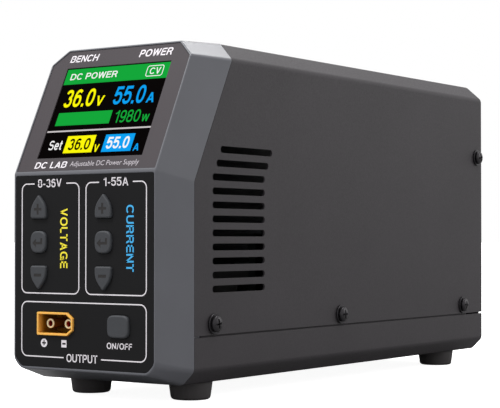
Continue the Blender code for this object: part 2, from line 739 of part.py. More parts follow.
def side_screws():
    """Pan-head machine screws with captive washers, four in each side of the case."""
    washer_radius, washer = WASHER
    head_radius, head = SIDE_HEAD
    profile = [(0, -SIDE_SCREW_LENGTH), (SCREW_SHANK, -SIDE_SCREW_LENGTH), (SCREW_SHANK, 0)]
    profile += [(washer_radius, 0), (washer_radius, washer)]
    profile += [(head_radius, washer), (head_radius, washer + head * 0.6)]
    profile += [(head_radius * 0.75, washer + head), (0, washer + head)]
    for side, towards in (("right", "+X"), ("left", "-X")):
        sign = 1 if side == "right" else -1
        for i, (depth, height) in enumerate(SIDE_SCREWS):
            name = f"cover_screw_{side}_{i + 1}"
            mesh = turned(name, profile, 12)
            at = (sign * (HALF + GAP), depth, height)
            place(name, mesh, "screw_steel", location=at, rotation=TOWARDS[towards])


def feet():
    """Rubber feet with a counterbore for the screw that holds them to the chassis."""
    low, high = FOOT_RADII
    top = FOOT_HEIGHT - GAP
    foot = [(low - FOOT_EDGE, 0), (low, FOOT_EDGE), (high, top), (SCREW_HOLE, top)]
    foot += [(SCREW_HOLE, FOOT_SEAT), (FOOT_RECESS, FOOT_SEAT), (FOOT_RECESS, 0)]
    screw_top = FOOT_HEIGHT + SHEET + FOOT_SCREW_LENGTH
    head_radius, head = FOOT_HEAD
    under = FOOT_SEAT - GAP
    screw = [(0, under - head), (head_radius, under - head), (head_radius, under), (SCREW_SHANK, under)]
    screw += [(SCREW_SHANK, screw_top), (0, screw_top)]
    for side, sign in (("right", 1), ("left", -1)):
        for end, depth in zip(("front", "rear"), FOOT_DEPTHS):
            at = (sign * FOOT_X, depth, 0)
            name = f"foot_{end}_{side}"
            place(name, turned(name, foot, 18, closed=True), "foot_rubber", location=at)
            name = f"foot_screw_{end}_{side}"
            place(name, turned(name, screw, 10), "screw_steel", location=at)


# ---------------------------------------------------------------- back

def fan_corners():
    return [(x, FAN_Z + z) for x in (-FAN_HOLES, FAN_HOLES) for z in (-FAN_HOLES, FAN_HOLES)]


def fan_frame():
    """Square fan housing with a bearing disc on four struts."""
    front = FAN_BACK - FAN_DEPTH
    outline = rounded(rectangle(FAN_SIZE, FAN_SIZE, (0, FAN_Z)), [0.004] * 4)
    frame = place("fan_frame", extruded("fan_frame", outline, "Y", front, FAN_BACK), "fan_black")
    holes = [circle(FAN_BORE, 28, (0, FAN_Z))] + [circle(SCREW_HOLE, 10, corner) for corner in fan_corners()]
    for hole in holes:
        cut(frame, extruded("guide_fan_hole", hole, "Y", front - 0.01, FAN_BACK + 0.01))
    strut_front = FAN_BACK - STRUT_DEPTH
    for turn in (pi / 4, 3 * pi / 4):
        along = Vector((cos(turn), sin(turn))) * (FAN_BORE + 0.0012)
        across = Vector((-sin(turn), cos(turn))) * STRUT_HALF
        strut = [along + across, -along + across, -along - across, along - across]
        strut = [(p.x, p.y + FAN_Z) for p in strut]
        add(frame, extruded("guide_strut", strut, "Y", strut_front, FAN_BACK - 0.0002))
    disc = circle(BEARING_RADIUS, 24, (0, FAN_Z))
    add(frame, extruded("guide_bearing", disc, "Y", strut_front - 0.0002, FAN_BACK - 0.0004))


def fan_rotor():
    """Hub with seven twisted blades, turning about Y."""
    half = HUB_LENGTH / 2
    hub = turned("fan_rotor", [(0, -half), (HUB_RADIUS, -half), (HUB_RADIUS, half), (0, half)], 21)
    at = (0, ROTOR_MIDDLE, FAN_Z)
    rotor = place("fan_rotor", hub, "fan_black", location=at, rotation=TOWARDS["+Y"])
    for i in range(BLADES):
        loops = [blade_section(*station, 2 * pi * i / BLADES) for station in BLADE_STATIONS]
        add(rotor, lofted("guide_blade", loops), location=at, rotation=TOWARDS["+Y"])


def blade_section(radius, pitch, chord, turn):
    """Four corners of a blade at a radius: a thin plate pitched against the plane of turning."""
    half, thick = chord / 2, 0.0006
    out = Vector((cos(turn), sin(turn), 0))
    round_way = Vector((-sin(turn), cos(turn), 0))
    along = round_way * cos(pitch) + Vector((0, 0, 1)) * sin(pitch)
    across = round_way * -sin(pitch) + Vector((0, 0, 1)) * cos(pitch)
    corners = [(-half, -thick), (half, -thick), (half, thick), (-half, thick)]
    return [out * radius + along * a + across * b for a, b in corners]


def fan_guard():
    """Wire grille: three rings on four spokes that end in eyelets round the fan screws."""
    at = (0, REAR_FACE + GAP + GUARD_WIRE, FAN_Z)
    facing = TOWARDS["+Y"]
    rings = []
    for radius in GUARD_RINGS:
        wire = [(radius + x, height) for x, height in circle(GUARD_WIRE, 5)]
        rings.append(turned("guide_guard_ring", wire, 24, closed=True))
    rings[0].name = "fan_guard"
    guard = place("fan_guard", rings[0], "guard_chrome", location=at, rotation=facing)
    for ring in rings[1:]:
        add(guard, ring, location=at, rotation=facing)
    disc_radius, disc = GUARD_DISC
    hub = rod("guide_guard_disc", disc_radius, disc, 16)
    add(guard, hub, location=(0, at[1] - disc / 2, FAN_Z), rotation=facing)
    first = disc_radius * 2 / 3
    last = FAN_HOLES * sqrt(2) - EYELET_RADIUS + GUARD_WIRE
    for i in range(4):
        turn = pi / 4 + i * pi / 2
        spoke = rod("guide_spoke", GUARD_WIRE * 0.95, last - first, 6)
        start = (first * cos(turn), at[1], FAN_Z + first * sin(turn))
        add(guard, spoke, location=start, rotation=(0, pi / 2 - turn, 0))
    eye = [(SCREW_HOLE, -GUARD_WIRE), (EYELET_RADIUS, -GUARD_WIRE)]
    eye += [(EYELET_RADIUS, GUARD_WIRE), (SCREW_HOLE, GUARD_WIRE)]
    for x, z in fan_corners():
        add(guard, turned("guide_eyelet", eye, 10, closed=True), location=(x, at[1], z), rotation=facing)


def fan_screws():
    head_radius, head = FAN_HEAD
    start = REAR_FACE + 2 * GAP + 2 * GUARD_WIRE
    profile = [(0, -FAN_SCREW_LENGTH), (SCREW_SHANK, -FAN_SCREW_LENGTH), (SCREW_SHANK, 0), (head_radius, 0)]
    profile += [(head_radius, head * 0.6), (head_radius * 0.75, head), (0, head)]
    for i, (x, z) in enumerate(fan_corners()):
        name = f"fan_screw_{i + 1}"
        place(name, turned(name, profile, 12), "screw_steel", location=(x, start, z), rotation=TOWARDS["+Y"])


def mains_inlet():
    """Three-pin power inlet: a flanged shell with a deep mouth and three flat pins."""
    body = rectangle(*INLET_BODY, INLET_AT)
    flange = rectangle(*INLET_FLANGE, INLET_AT)
    front, seat = REAR_FACE - REAR_PART_DEPTH, REAR_FACE + GAP
    layers = [(body, front, seat), (flange, seat, seat + FLANGE)]
    shell = place("mains_inlet", stepped("mains_inlet", layers), "inlet_black")
    mouth_floor = seat + FLANGE - INLET_MOUTH_DEPTH
    mouth = rounded(rectangle(*INLET_MOUTH, INLET_AT), [0.003] * 4)
    cut(shell, extruded("guide_inlet_mouth", mouth, "Y", mouth_floor, seat + FLANGE + 0.002))
    for wire, offset in INLET_PINS.items():
        centre = (INLET_AT[0] + offset[0], INLET_AT[1] + offset[1])
        hole = rectangle(PIN_SIZE[0] + 2 * GAP, PIN_SIZE[1] + 2 * GAP, centre)
        cut(shell, extruded("guide_pin_hole", hole, "Y", front - 0.002, mouth_floor + 0.002))
        pin = rectangle(*PIN_SIZE, centre)
        name = f"{wire}_pin"
        place(name, extruded(name, pin, "Y", front - 0.006, seat + FLANGE - 0.002), "pin_brass")


def power_switch():
    """Rocker switch: a flanged body, and a rocker that tips about X."""
    body = rectangle(*SWITCH_BODY, SWITCH_AT)
    flange = rectangle(*SWITCH_FLANGE, SWITCH_AT)
    front, seat = REAR_FACE - REAR_PART_DEPTH, REAR_FACE + GAP
    layers = [(body, front, seat), (flange, seat, seat + FLANGE)]
    shell = place("power_switch_body", stepped("power_switch_body", layers), "switch_black")
    well = rectangle(ROCKER_SIZE[0] + 0.0008, ROCKER_SIZE[1] + 0.0014, SWITCH_AT)
    cut(shell, extruded("guide_switch_well", well, "Y", ROCKER_PIVOT - ROCKER_WELL, seat + FLANGE + 0.002))

    width, height = ROCKER_SIZE
    tip, waist, keel = ROCKER_PROFILE.values()
    side = [(keel, -height / 3), (tip, -height / 2), (waist, 0), (tip, height / 2), (keel, height / 3)]
    mesh = extruded("power_rocker", side, "X", -width / 2, width / 2)
    at = (SWITCH_AT[0], ROCKER_PIVOT, SWITCH_AT[1])
    place("power_rocker", mesh, "rocker_black", location=at, rotation=(-ROCKER_SWING / 2, 0, 0))


# ---------------------------------------------------------------- electronics

def block(name, surface, low, high, bottom, top):
    """A block from its low (x, y) corner to its high one."""
    outline = [(low[0], bottom), (high[0], bottom), (high[0], top), (low[0], top)]
    return place(name, extruded(name, outline, "Y", low[1], high[1]), surface)


def main_board():
    half, front, back = MAIN_BOARD
    block("main_board", "board_green", (-half, front), (half, back), BOARD_Z, BOARD_Z + BOARD)


def heatsinks():
    """Finned aluminium bars along both sides of the board: the primary has the taller fins."""
    for name, (sign, front, back, top) in HEATSINKS.items():
        pitch = (top - BOARD_TOP - FIN) / (FINS - 1)
        outline = [(HEATSINK_BACK, BOARD_TOP), (HEATSINK_BACK, top)]
        for i in reversed(range(FINS)):
            low = BOARD_TOP + i * pitch
            outline += [(FIN_TIP, low + FIN), (FIN_TIP, low)]
            if i:
                outline += [(FIN_ROOT, low), (FIN_ROOT, low - pitch + FIN)]
        outline = [(sign * x, z) for x, z in outline]
        place(f"{name}_heatsink", extruded(f"{name}_heatsink", outline, "Y", front, back), "aluminium")


def wound_parts():
    """The transformer, the three chokes and the two bulk capacitors."""
    low, high, top = TRANSFORMER
    core = block("main_transformer", "ferrite", low, high, BOARD_TOP, top)
    width, height, front, back = WINDING
    add(core, extruded("guide_winding", rectangle(width, width, (0, height)), "Y", front, back))
    low, high, top = FILTER_CHOKE
    block("mains_filter_choke", "ferrite", low, high, BOARD_TOP, top)
    bevel = 0.001
    for name, (x, y, inner, outer, height) in CHOKES.items():
        ring = [(inner, bevel), (inner + bevel, 0), (outer - 2 * bevel, 0), (outer, 2 * bevel)]
        ring += [(outer, height - 2 * bevel), (outer - 2 * bevel, height)]
        ring += [(inner + bevel, height), (inner, height - bevel)]
        place(name, turned(name, ring, 20, closed=True), "copper_winding", location=(x, y, BOARD_TOP))
    radius, height = CAPACITOR
    can = [(0, 0), (radius - bevel, 0), (radius, bevel), (radius, height - 2 * bevel)]
    can += [(radius - bevel, height), (0, height)]
    for i, y in enumerate(CAPACITOR_DEPTHS):
        name = f"bulk_capacitor_{i + 1}"
        place(name, turned(name, can, 20), "capacitor_sleeve", location=(0, y, BOARD_TOP))


def output_terminal_block():
    half, depth, top = TERMINAL_BLOCK
    low, high = (SOCKET_AT[0] - half, TERMINAL_FRONT), (SOCKET_AT[0] + half, TERMINAL_FRONT + depth)
    block("output_terminal_block", "terminal_black", low, high, BOARD_TOP, top)


def materials():
    material("painted_steel", (73, 71, 74), 0.55)
    material("bezel_plastic", (86, 88, 92), 0.45)
    material("panel_black", (33, 33, 35), 0.55)
    material("fascia_grey", (95, 89, 93), 0.55)
    material("screen_glass", (12, 12, 14), 0.08)
    material("module_metal", (60, 62, 64), 0.4, 0.8)
    material("key_rubber", (80, 82, 86), 0.6)
    material("board_green", (20, 70, 45), 0.5)
    material("socket_amber", (235, 150, 50), 0.4)
    material("contact_gold", (230, 190, 110), 0.25, 1.0)
    material("lead_positive", (150, 20, 20), 0.6)
    material("lead_negative", (20, 20, 22), 0.6)
    material("screw_steel", (150, 150, 155), 0.3, 1.0)
    material("foot_rubber", (38, 36, 37), 0.8)
    material("fan_black", (28, 28, 30), 0.5)
    material("guard_chrome", (200, 200, 205), 0.15, 1.0)
    material("inlet_black", (24, 24, 26), 0.5)
    material("pin_brass", (210, 190, 140), 0.3, 1.0)
    material("switch_black", (24, 24, 26), 0.45)
    material("rocker_black", (18, 18, 20), 0.35)
    material("aluminium", (190, 192, 195), 0.35, 1.0)
    material("ferrite", (45, 44, 46), 0.6)
    material("copper_winding", (150, 85, 45), 0.35, 0.8)
    material("capacitor_sleeve", (30, 34, 60), 0.4)
    material("terminal_black", (30, 30, 32), 0.5)


def main():
    for leftover in list(bpy.data.objects):
        bpy.data.objects.remove(leftover, do_unlink=True)
    materials()
    case_frame = empty("case_frame", (0, FACE_Y, 0))
    empty("slope_frame", (0, 0, KINK_Z), (-TILT, 0, 0), case_frame)
    top_cover()
    bottom_chassis()
    rear_panel()
    front_bezel()
    control_panel()
    display_fascia()
    display_lens()
    display_module()
    for name, (kind, centre) in key_places().items():
        key(name, kind, centre)
    control_board()
    output_socket()
    contacts()
    leads()
    side_screws()
    feet()
    fan_frame()
    fan_rotor()
    fan_guard()
    fan_screws()
    mains_inlet()
    power_switch()
    main_board()
    heatsinks()
    wound_parts()
    output_terminal_block()


main()
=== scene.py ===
"""Looks of the bench power supply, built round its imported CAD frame.

Every visible piece is rebuilt here with rounded bends, soft key caps, turned screws, printed
lines and a lit screen. Metres; the front faces -Y, and +X is on the right seen from the front.
"""

from math import ceil, copysign, cos, degrees, pi, radians, sin, sqrt, tan

import bmesh
import bpy
from mathutils import Matrix, Vector


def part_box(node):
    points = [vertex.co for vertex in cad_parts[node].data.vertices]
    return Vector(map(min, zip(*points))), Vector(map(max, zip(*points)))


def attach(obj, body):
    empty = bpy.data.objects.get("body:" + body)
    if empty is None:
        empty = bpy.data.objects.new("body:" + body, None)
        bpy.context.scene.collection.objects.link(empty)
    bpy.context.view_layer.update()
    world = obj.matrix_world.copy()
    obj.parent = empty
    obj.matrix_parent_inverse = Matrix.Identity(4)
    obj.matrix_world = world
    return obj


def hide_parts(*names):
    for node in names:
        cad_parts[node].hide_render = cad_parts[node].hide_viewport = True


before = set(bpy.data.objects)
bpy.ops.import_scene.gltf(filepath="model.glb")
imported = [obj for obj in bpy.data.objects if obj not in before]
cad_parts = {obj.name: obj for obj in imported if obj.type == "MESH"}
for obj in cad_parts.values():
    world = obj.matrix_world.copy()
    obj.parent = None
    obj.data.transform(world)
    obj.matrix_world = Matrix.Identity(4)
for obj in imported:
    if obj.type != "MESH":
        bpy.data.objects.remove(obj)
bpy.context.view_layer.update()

# ---------------------------------------------------------------- sizes from the frame

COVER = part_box("top_cover")
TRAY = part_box("bottom_chassis")
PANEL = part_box("control_panel")
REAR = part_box("rear_panel")
FACE_Y = PANEL[0].y  # the upright face; every depth is measured back from it
HALF = COVER[1].x
CASE_TOP = COVER[1].z
CASE_BOTTOM = TRAY[0].z
CASE_BACK = COVER[1].y - FACE_Y
COVER_FOOT = COVER[0].z
SHEET = 0.0012
GAP = 0.0003
FLANGE_TOP = 0.044
FLANGE_BACK = 0.296
TOP_CUT_X = 0.0099
TOP_CUT_Z = 0.0085
BOTTOM_CUT = 0.0066
BEND = 0.0038  # outer radius of the folds

TILT = radians(26)
JOINT_TILT = radians(27)
KINK_Z = 0.1063
FACE_HALF = 0.0427
FACE_BOTTOM = 0.0142
FACE_TOP = 0.1679
FACE_BOTTOM_CUT = 0.0044
FACE_CUT_X = 0.0084
FACE_CUT_Z = FACE_CUT_X * TOP_CUT_Z / TOP_CUT_X
FLARE_DEPTH = 0.0203
BEZEL_DEPTH = 0.0207
LIP_LENGTH = 0.006
LIP_WALL = 0.0018
LEDGE_BACK = 0.0046
BEZEL_WALL = 0.0022
FACE_ROUND = 0.0006

PLATE = 0.0020
PANEL_HALF = PANEL[1].x
PANEL_BOTTOM = PANEL[0].z
PANEL_TOP = PANEL[1].z
PANEL_CUT = 0.0038
PANEL_CUT_ROUND = 0.0040
PLAY = 0.00012  # visible joint round a fitted plate
JOINT = 0.00008  # bezel to sheet metal
FASCIA_EDGE = 0.0010
FASCIA_BOTTOM = 0.0013
FASCIA_SUNK = 0.0004
SCREEN_HALF = 0.0318
SCREEN_BOTTOM = 0.0082
SCREEN_TOP = 0.0581
SCREEN_SUNK = 0.0009
LENS = 0.0010

SLOT_COUNT = 11
SLOT_PITCH = 0.0065
SLOT_LENGTH = 0.0431
SLOT_HEIGHT = 0.0032
SLOT_LOWEST_Z = 0.05215
SLOT_FRONT = 0.0347
SLOT_STEP = 0.0032
STEPPED_SLOTS = 2
SLOT_END_STEPS = 12

KEY_COLUMNS = {"voltage": -0.02655, "current": 0.01290}
KEY_ROWS = {"up": 0.09045, "enter": 0.07395, "down": 0.05730}
KEY_HALF_WIDTH = 0.0049
KEY_HALF_HEIGHT = 0.00555
KEY_SHOULDER = 0.0002
KEY_APEX = 0.00595
KEY_GAP = 0.00022
KEY_PROUD = 0.0013
KEY_ROUND = 0.0009
KEY_FLANGE = 0.0009
MARK_DEPTH = 0.00018
ENTER_KEY = (0.0049, 0.0052, 2.8)
OUTPUT_KEY_AT = (0.0217, 0.0356)
OUTPUT_KEY = (0.00625, 0.0052, 4.2)

SOCKET_AT = (-0.0162, 0.0358)
SOCKET_SIZE = (0.0220, 0.0108)
SOCKET_CUT = (0.0036, 0.0026)
SOCKET_WALL = 0.0010
SOCKET_PROUD = 0.0010
SOCKET_FLOOR = 0.0125
SOCKET_BACK = 0.0145
CONTACT_SPACING = 0.0112
CONTACT_RADIUS = 0.0023
CONTACT_BORE = 0.0014
CONTACT_FRONT = 0.0023
CONTACT_BACK = 0.0220
CONTACTS = {"positive": SOCKET_AT[0] - CONTACT_SPACING / 2, "negative": SOCKET_AT[0] + CONTACT_SPACING / 2}

SCREW_SHANK = 0.0019
SCREW_HOLE = 0.0022
SIDE_SCREWS = [(0.0357, 0.0362), (0.1484, 0.0362), (0.2878, 0.0362), (0.3074, 0.1246)]
FOOT_X = 0.0305
FOOT_DEPTHS = (0.0426, 0.289)

REAR_PANEL = (REAR[1].y - FACE_Y - 0.0015, REAR[1].y - FACE_Y)
REAR_FACE = REAR_PANEL[1]
PANEL_FLANGE_FRONT = 0.298
FAN_Z = 0.113
FAN_SIZE = 0.080
FAN_DEPTH = 0.025
FAN_HOLES = 0.0715 / 2
FAN_BORE = 0.0382
FAN_BLADES = 7
FAN_BACK = REAR_PANEL[0] - GAP
GUARD_WIRE = 0.0009
GUARD_RINGS = (0.038, 0.0275, 0.017)
INLET_AT = (-0.018, 0.042)
INLET_BODY = (0.0320, 0.0245)
INLET_FLANGE = (0.0370, 0.0295)
INLET_MOUTH = (0.0274, 0.0200)
INLET_PINS = {"live": (-0.0065, -0.0030), "neutral": (0.0065, -0.0030), "earth": (0.0, 0.0040)}
PIN_SIZE = (0.0080, 0.0020)
SWITCH_AT = (0.024, 0.042)
SWITCH_BODY = (0.0220, 0.0270)
SWITCH_FLANGE = (0.0250, 0.0330)
ROCKER_SIZE = (0.0182, 0.0236)
ROCKER_SIGN = 0.0066
ROCKER_SWING = radians(20)
ROCKER_PIVOT = REAR_FACE - 0.0001
FLANGE = 0.0020
FLANGE_SEAT = REAR_FACE + GAP
MOULDING_FRONT = REAR_FACE - 0.024

AT_FACE = Matrix.Translation((0, FACE_Y, 0))
ON_SLOPE = AT_FACE @ Matrix.Translation((0, 0, KINK_Z)) @ Matrix.Rotation(-TILT, 4, "X")
SIGNS = {"right": 1, "left": -1}
THROUGH = (-HALF - 0.01, HALF + 0.01)  # a cut right across the case
MERGE = 1e-7  # vertices closer than this are one
SEAT = 0.00005  # a screw or washer stands this far off its sheet


# ---------------------------------------------------------------- outlines

def inset(outline, distance):
    """The closed outline, anticlockwise, moved inwards by distance with mitred corners."""
    points = []
    for i, here in enumerate(outline):
        before = (Vector(here) - Vector(outline[i - 1])).normalized()
        after = (Vector(outline[(i + 1) % len(outline)]) - Vector(here)).normalized()
        normal_in = Vector((-before.y, before.x))
        mitre = normal_in + Vector((-after.y, after.x))
        mitre *= distance / mitre.dot(normal_in)
        points.append((here[0] + mitre.x, here[1] + mitre.y))
    return points


def rounded(outline, radii, step=8):
    """The closed outline with its corners turned into arcs, one point for every step degrees."""
    if not isinstance(radii, (list, tuple)):
        radii = [radii] * len(outline)
    points = []
    for i, (here, radius) in enumerate(zip(outline, radii)):
        if not radius:
            points.append(tuple(here))
            continue
        corner = Vector(here)
        to_last = (Vector(outline[i - 1]) - corner).normalized()
        to_next = (Vector(outline[(i + 1) % len(outline)]) - corner).normalized()
        opening = to_last.angle(to_next)
        centre = corner + (to_last + to_next).normalized() * radius / sin(opening / 2)
        middle = (corner - centre).normalized()
        onwards = to_next - to_last
        side = copysign(1, onwards.dot(Vector((-middle.y, middle.x))))
        count = max(2, ceil(degrees(pi - opening) / step))
        for k in range(count + 1):
            turn = side * (pi - opening) * (k / count - 0.5)
            x = middle.x * cos(turn) - middle.y * sin(turn)
            y = middle.x * sin(turn) + middle.y * cos(turn)
            points.append((centre.x + x * radius, centre.y + y * radius))
    return points


def rectangle(width, height, centre=(0, 0)):
    """Corners of an upright rectangle, anticlockwise."""
    x, y = centre
    w, h = width / 2, height / 2
    return [(x - w, y - h), (x + w, y - h), (x + w, y + h), (x - w, y + h)]


def circle(radius, sides=32, centre=(0, 0)):
    """Points round a circle, anticlockwise."""
    turns = [2 * pi * i / sides for i in range(sides)]
    return [(centre[0] + radius * cos(a), centre[1] + radius * sin(a)) for a in turns]


def superellipse(turn, squareness):
    """The point at a turn on a circle of radius 1 that is pushed out towards its corners."""
    x = copysign(abs(cos(turn)) ** (2 / squareness), cos(turn))
    z = copysign(abs(sin(turn)) ** (2 / squareness), sin(turn))
    return x, z


def squircle(half_width, half_height, squareness, sides=64):
    """A soft rectangle with slightly bulging sides."""
    corners = [superellipse(2 * pi * (i + 0.5) / sides, squareness) for i in range(sides)]
    return [(half_width * x, half_height * z) for x, z in corners]


def slot_outline(front, back, middle, height):
    """A slot with round ends."""
    radius = height / 2
    angles = [pi * i / SLOT_END_STEPS - pi / 2 for i in range(SLOT_END_STEPS + 1)]
    rear = [(back - radius + radius * cos(a), middle + radius * sin(a)) for a in angles]
    fore = [(front + radius - radius * cos(a), middle - radius * sin(a)) for a in angles]
    return rear + fore


def eight_sided(half, bottom, top, bottom_cut, cut_x, cut_z):
    """An upright section with all four corners cut off."""
    right = [(half, bottom + bottom_cut), (half, top - cut_z), (half - cut_x, top)]
    left = [(-half + cut_x, top), (-half, top - cut_z), (-half, bottom + bottom_cut)]
    return right + left + [(-half + bottom_cut, bottom), (half - bottom_cut, bottom)]


def case_section():
    """The outside of the folded case."""
    return eight_sided(HALF, CASE_BOTTOM, CASE_TOP, BOTTOM_CUT, TOP_CUT_X, TOP_CUT_Z)


def bezel_section(depth):
    """The bezel's outside at a depth: it widens evenly until it meets the case's section."""
    face = eight_sided(FACE_HALF, FACE_BOTTOM, FACE_TOP, FACE_BOTTOM_CUT, FACE_CUT_X, FACE_CUT_Z)
    share = min(depth / FLARE_DEPTH, 1)
    return [tuple(Vector(a).lerp(Vector(b), share)) for a, b in zip(face, case_section())]


def panel_outline():
    """The black plate: square at the top, cut corners at the bottom."""
    half, low = PANEL_HALF, PANEL_BOTTOM
    upper = [(half, low + PANEL_CUT), (half, PANEL_TOP), (-half, PANEL_TOP), (-half, low + PANEL_CUT)]
    corners = upper + [(-half + PANEL_CUT, low), (half - PANEL_CUT, low)]
    soft = PANEL_CUT_ROUND
    return rounded(corners, [soft, 0.0008, 0.0008, soft, soft, soft])


def fascia_outline():
    """The leaning plate, measured up the slope from the kink."""
    length = (FACE_TOP - KINK_Z) / cos(TILT)
    cut = FACE_CUT_Z / cos(TILT)
    low = FASCIA_BOTTOM - FASCIA_EDGE
    right = [(FACE_HALF, low), (FACE_HALF, length - cut), (FACE_HALF - FACE_CUT_X, length)]
    face = right + [(-x, z) for x, z in reversed(right)]
    return rounded(inset(face, FASCIA_EDGE), [0.0004, 0.0012, 0.0012, 0.0012, 0.0012, 0.0004])


def key_outline(kind, pulled=0.0):
    """Roof-shaped for up and down, a soft square for enter and output, pulled in by a distance."""
    if kind in ("enter", "output"):
        half_width, half_height, squareness = ENTER_KEY if kind == "enter" else OUTPUT_KEY
        return squircle(half_width - pulled, half_height - pulled, squareness)
    w, foot = KEY_HALF_WIDTH, -KEY_HALF_HEIGHT
    house = [(w, foot), (w, KEY_SHOULDER), (0, KEY_APEX), (-w, KEY_SHOULDER), (-w, foot)]
    radii = [max(r - pulled, 0.0003) for r in (0.0013, 0.0090, 0.0009, 0.0090, 0.0013)]
    house = rounded(inset(house, pulled), radii, 4)
    return house if kind == "up" else [(-x, -z) for x, z in house]


def socket_outline(wall=0.0):
    """Square at the positive end, cut at the negative end. A wall gives the mouth's outline."""
    w, h = SOCKET_SIZE[0] / 2, SOCKET_SIZE[1] / 2
    cut_x, cut_z = SOCKET_CUT
    right = [(w - cut_x, -h), (w, -h + cut_z), (w, h - cut_z), (w - cut_x, h)]
    outline = inset(right + [(-w, h), (-w, -h)], wall)
    soft = 0.0007 - wall / 2
    return rounded(outline, [soft] * 6)


def moved(outline, centre):
    """The outline carried over to a centre."""
    return [(x + centre[0], z + centre[1]) for x, z in outline]


def on_face(x, depth, z):
    """A place given by its depth behind the upright face."""
    return AT_FACE @ Matrix.Translation((x, depth, z))


def facing_back(x, depth, z):
    """The same place, with Z pointing to the back."""
    return on_face(x, depth, z) @ Matrix.Rotation(-pi / 2, 4, "X")


# ---------------------------------------------------------------- mesh building

def to_mesh(work):
    """The built shape as a mesh, smooth except over its sharp edges."""
    bmesh.ops.remove_doubles(work, verts=work.verts, dist=MERGE)
    bmesh.ops.recalc_face_normals(work, faces=work.faces)
    mesh = bpy.data.meshes.new("shape")
    work.to_mesh(mesh)
    work.free()
    mesh.shade_smooth()
    mesh.set_sharp_from_angle(angle=radians(40))
    return mesh


def skinned(work, loops):
    """Rings of vertices on loops that all have the same number of points, with faces between."""
    rings = [[work.verts.new(point) for point in loop] for loop in loops]
    for near, far in zip(rings, rings[1:]):
        for i in range(len(near)):
            work.faces.new((near[i - 1], near[i], far[i], far[i - 1]))
    return rings


def lofted(loops):
    """A closed solid through the loops."""
    work = bmesh.new()
    rings = skinned(work, loops)
    work.faces.new(rings[0])
    work.faces.new(rings[-1])
    return to_mesh(work)


def in_plane(outline, axis, height):
    """The outline's points in the plane at a height along an axis."""
    if axis == "X":
        return [(height, a, b) for a, b in outline]
    if axis == "Y":
        return [(a, height, b) for a, b in outline]
    return [(a, b, height) for a, b in outline]


def extruded(outline, axis, start, end):
    """A straight solid along an axis."""
    return lofted([in_plane(outline, axis, start), in_plane(outline, axis, end)])


def stepped(layers):
    """A solid along Y whose section changes: layers are (outline, start, end)."""
    loops = []
    for outline, start, end in layers:
        loops.append(in_plane(outline, "Y", start))
        loops.append(in_plane(outline, "Y", end))
    return lofted(loops)


def turned(profile, sides=48, closed=False):
    """A profile of (radius, height) points spun about Z. An open one starts and ends on Z."""
    work = bmesh.new()
    points = [work.verts.new((radius, 0, height)) for radius, height in profile]
    edges = [work.edges.new(pair) for pair in zip(points, points[1:])]
    if closed:
        edges.append(work.edges.new((points[-1], points[0])))
    about = {"axis": (0, 0, 1), "cent": (0, 0, 0), "steps": sides, "angle": 2 * pi}
    bmesh.ops.spin(work, geom=points + edges, use_merge=True, **about)
    return to_mesh(work)


def arc(centre, radius, start, end, steps=8):
    """Points on an arc, with angles in degrees."""
    turns = [radians(start + (end - start) * i / steps) for i in range(steps + 1)]
    return [(centre[0] + radius * cos(a), centre[1] + radius * sin(a)) for a in turns]


def quarter(steps):
    """Angles over a quarter turn."""
    return [pi / 2 * i / steps for i in range(steps + 1)]


def kinked(sections):
    """A solid through (outline, depth) pairs that all bend back at the kink, like the face."""
    offsets = [-0.0012, -0.0005, 0, 0.0005, 0.0012]  # where the bend's points lie round the kink
    softness = 0.0003
    loops = []
    for outline, depth in sections:
        lean = TILT if depth < FLARE_DEPTH - 0.001 else JOINT_TILT
        kink_z = KINK_Z - depth * tan(TILT / 2)
        points, marks = [], []
        for i, here in enumerate(outline):
            points.append(here)
            there = outline[(i + 1) % len(outline)]
            if (here[1] - kink_z) * (there[1] - kink_z) < 0:
                marks.append(len(points))
                for offset in offsets if there[1] > here[1] else reversed(offsets):
                    share = (kink_z + offset - here[1]) / (there[1] - here[1])
                    points.append((here[0] + share * (there[0] - here[0]), kink_z + offset))
        bent = []
        for x, z in points:
            above = z - kink_z
            rise = (above + sqrt(above * above + softness * softness)) / 2
            bent.append((x, depth + rise * tan(lean), z))
        loops.append(bent)
    work = bmesh.new()
    rings = skinned(work, loops)
    right, left = marks
    last = len(offsets) - 1
    for ring in (rings[0], rings[-1]):
        work.faces.new(ring[right + last : left + 1])
        work.faces.new(ring[left + last :] + ring[: right + 1])
        for i in range(last):
            near, far = right + i, left + last - i
            work.faces.new((ring[near], ring[near + 1], ring[far - 1], ring[far]))
    return to_mesh(work)


def carved(mesh, cuts=(), joins=(), bevel=0, segments=2, angle=40):
    """The mesh after its unions, its cuts and a bevel on the edges sharper than the angle."""
    work = bpy.data.objects.new("work", mesh)
    helpers = [work]
    for operation, shapes in (("UNION", joins), ("DIFFERENCE", cuts)):
        for shape in shapes:
            helpers.append(bpy.data.objects.new("guide", shape))
            modifier = work.modifiers.new(operation, "BOOLEAN")
            modifier.operation = operation
            modifier.solver = "EXACT"
            modifier.object = helpers[-1]
    if bevel:
        modifier = work.modifiers.new("edges", "BEVEL")
        modifier.width = bevel
        modifier.segments = segments
        modifier.limit_method = "ANGLE"
        modifier.angle_limit = radians(angle)
        modifier.use_clamp_overlap = False
    for each in helpers:
        bpy.context.scene.collection.objects.link(each)
    graph = bpy.context.evaluated_depsgraph_get()
    made = bpy.data.meshes.new_from_object(work.evaluated_get(graph))
    for each in helpers:
        bpy.data.objects.remove(each)
    made.materials.clear()
    made.shade_smooth()
    made.set_sharp_from_angle(angle=radians(36))
    return made


def joined(meshes):
    """Several closed meshes as one mesh of separate shells."""
    work = bmesh.new()
    for mesh in meshes:
        work.from_mesh(mesh)
    return to_mesh(work)


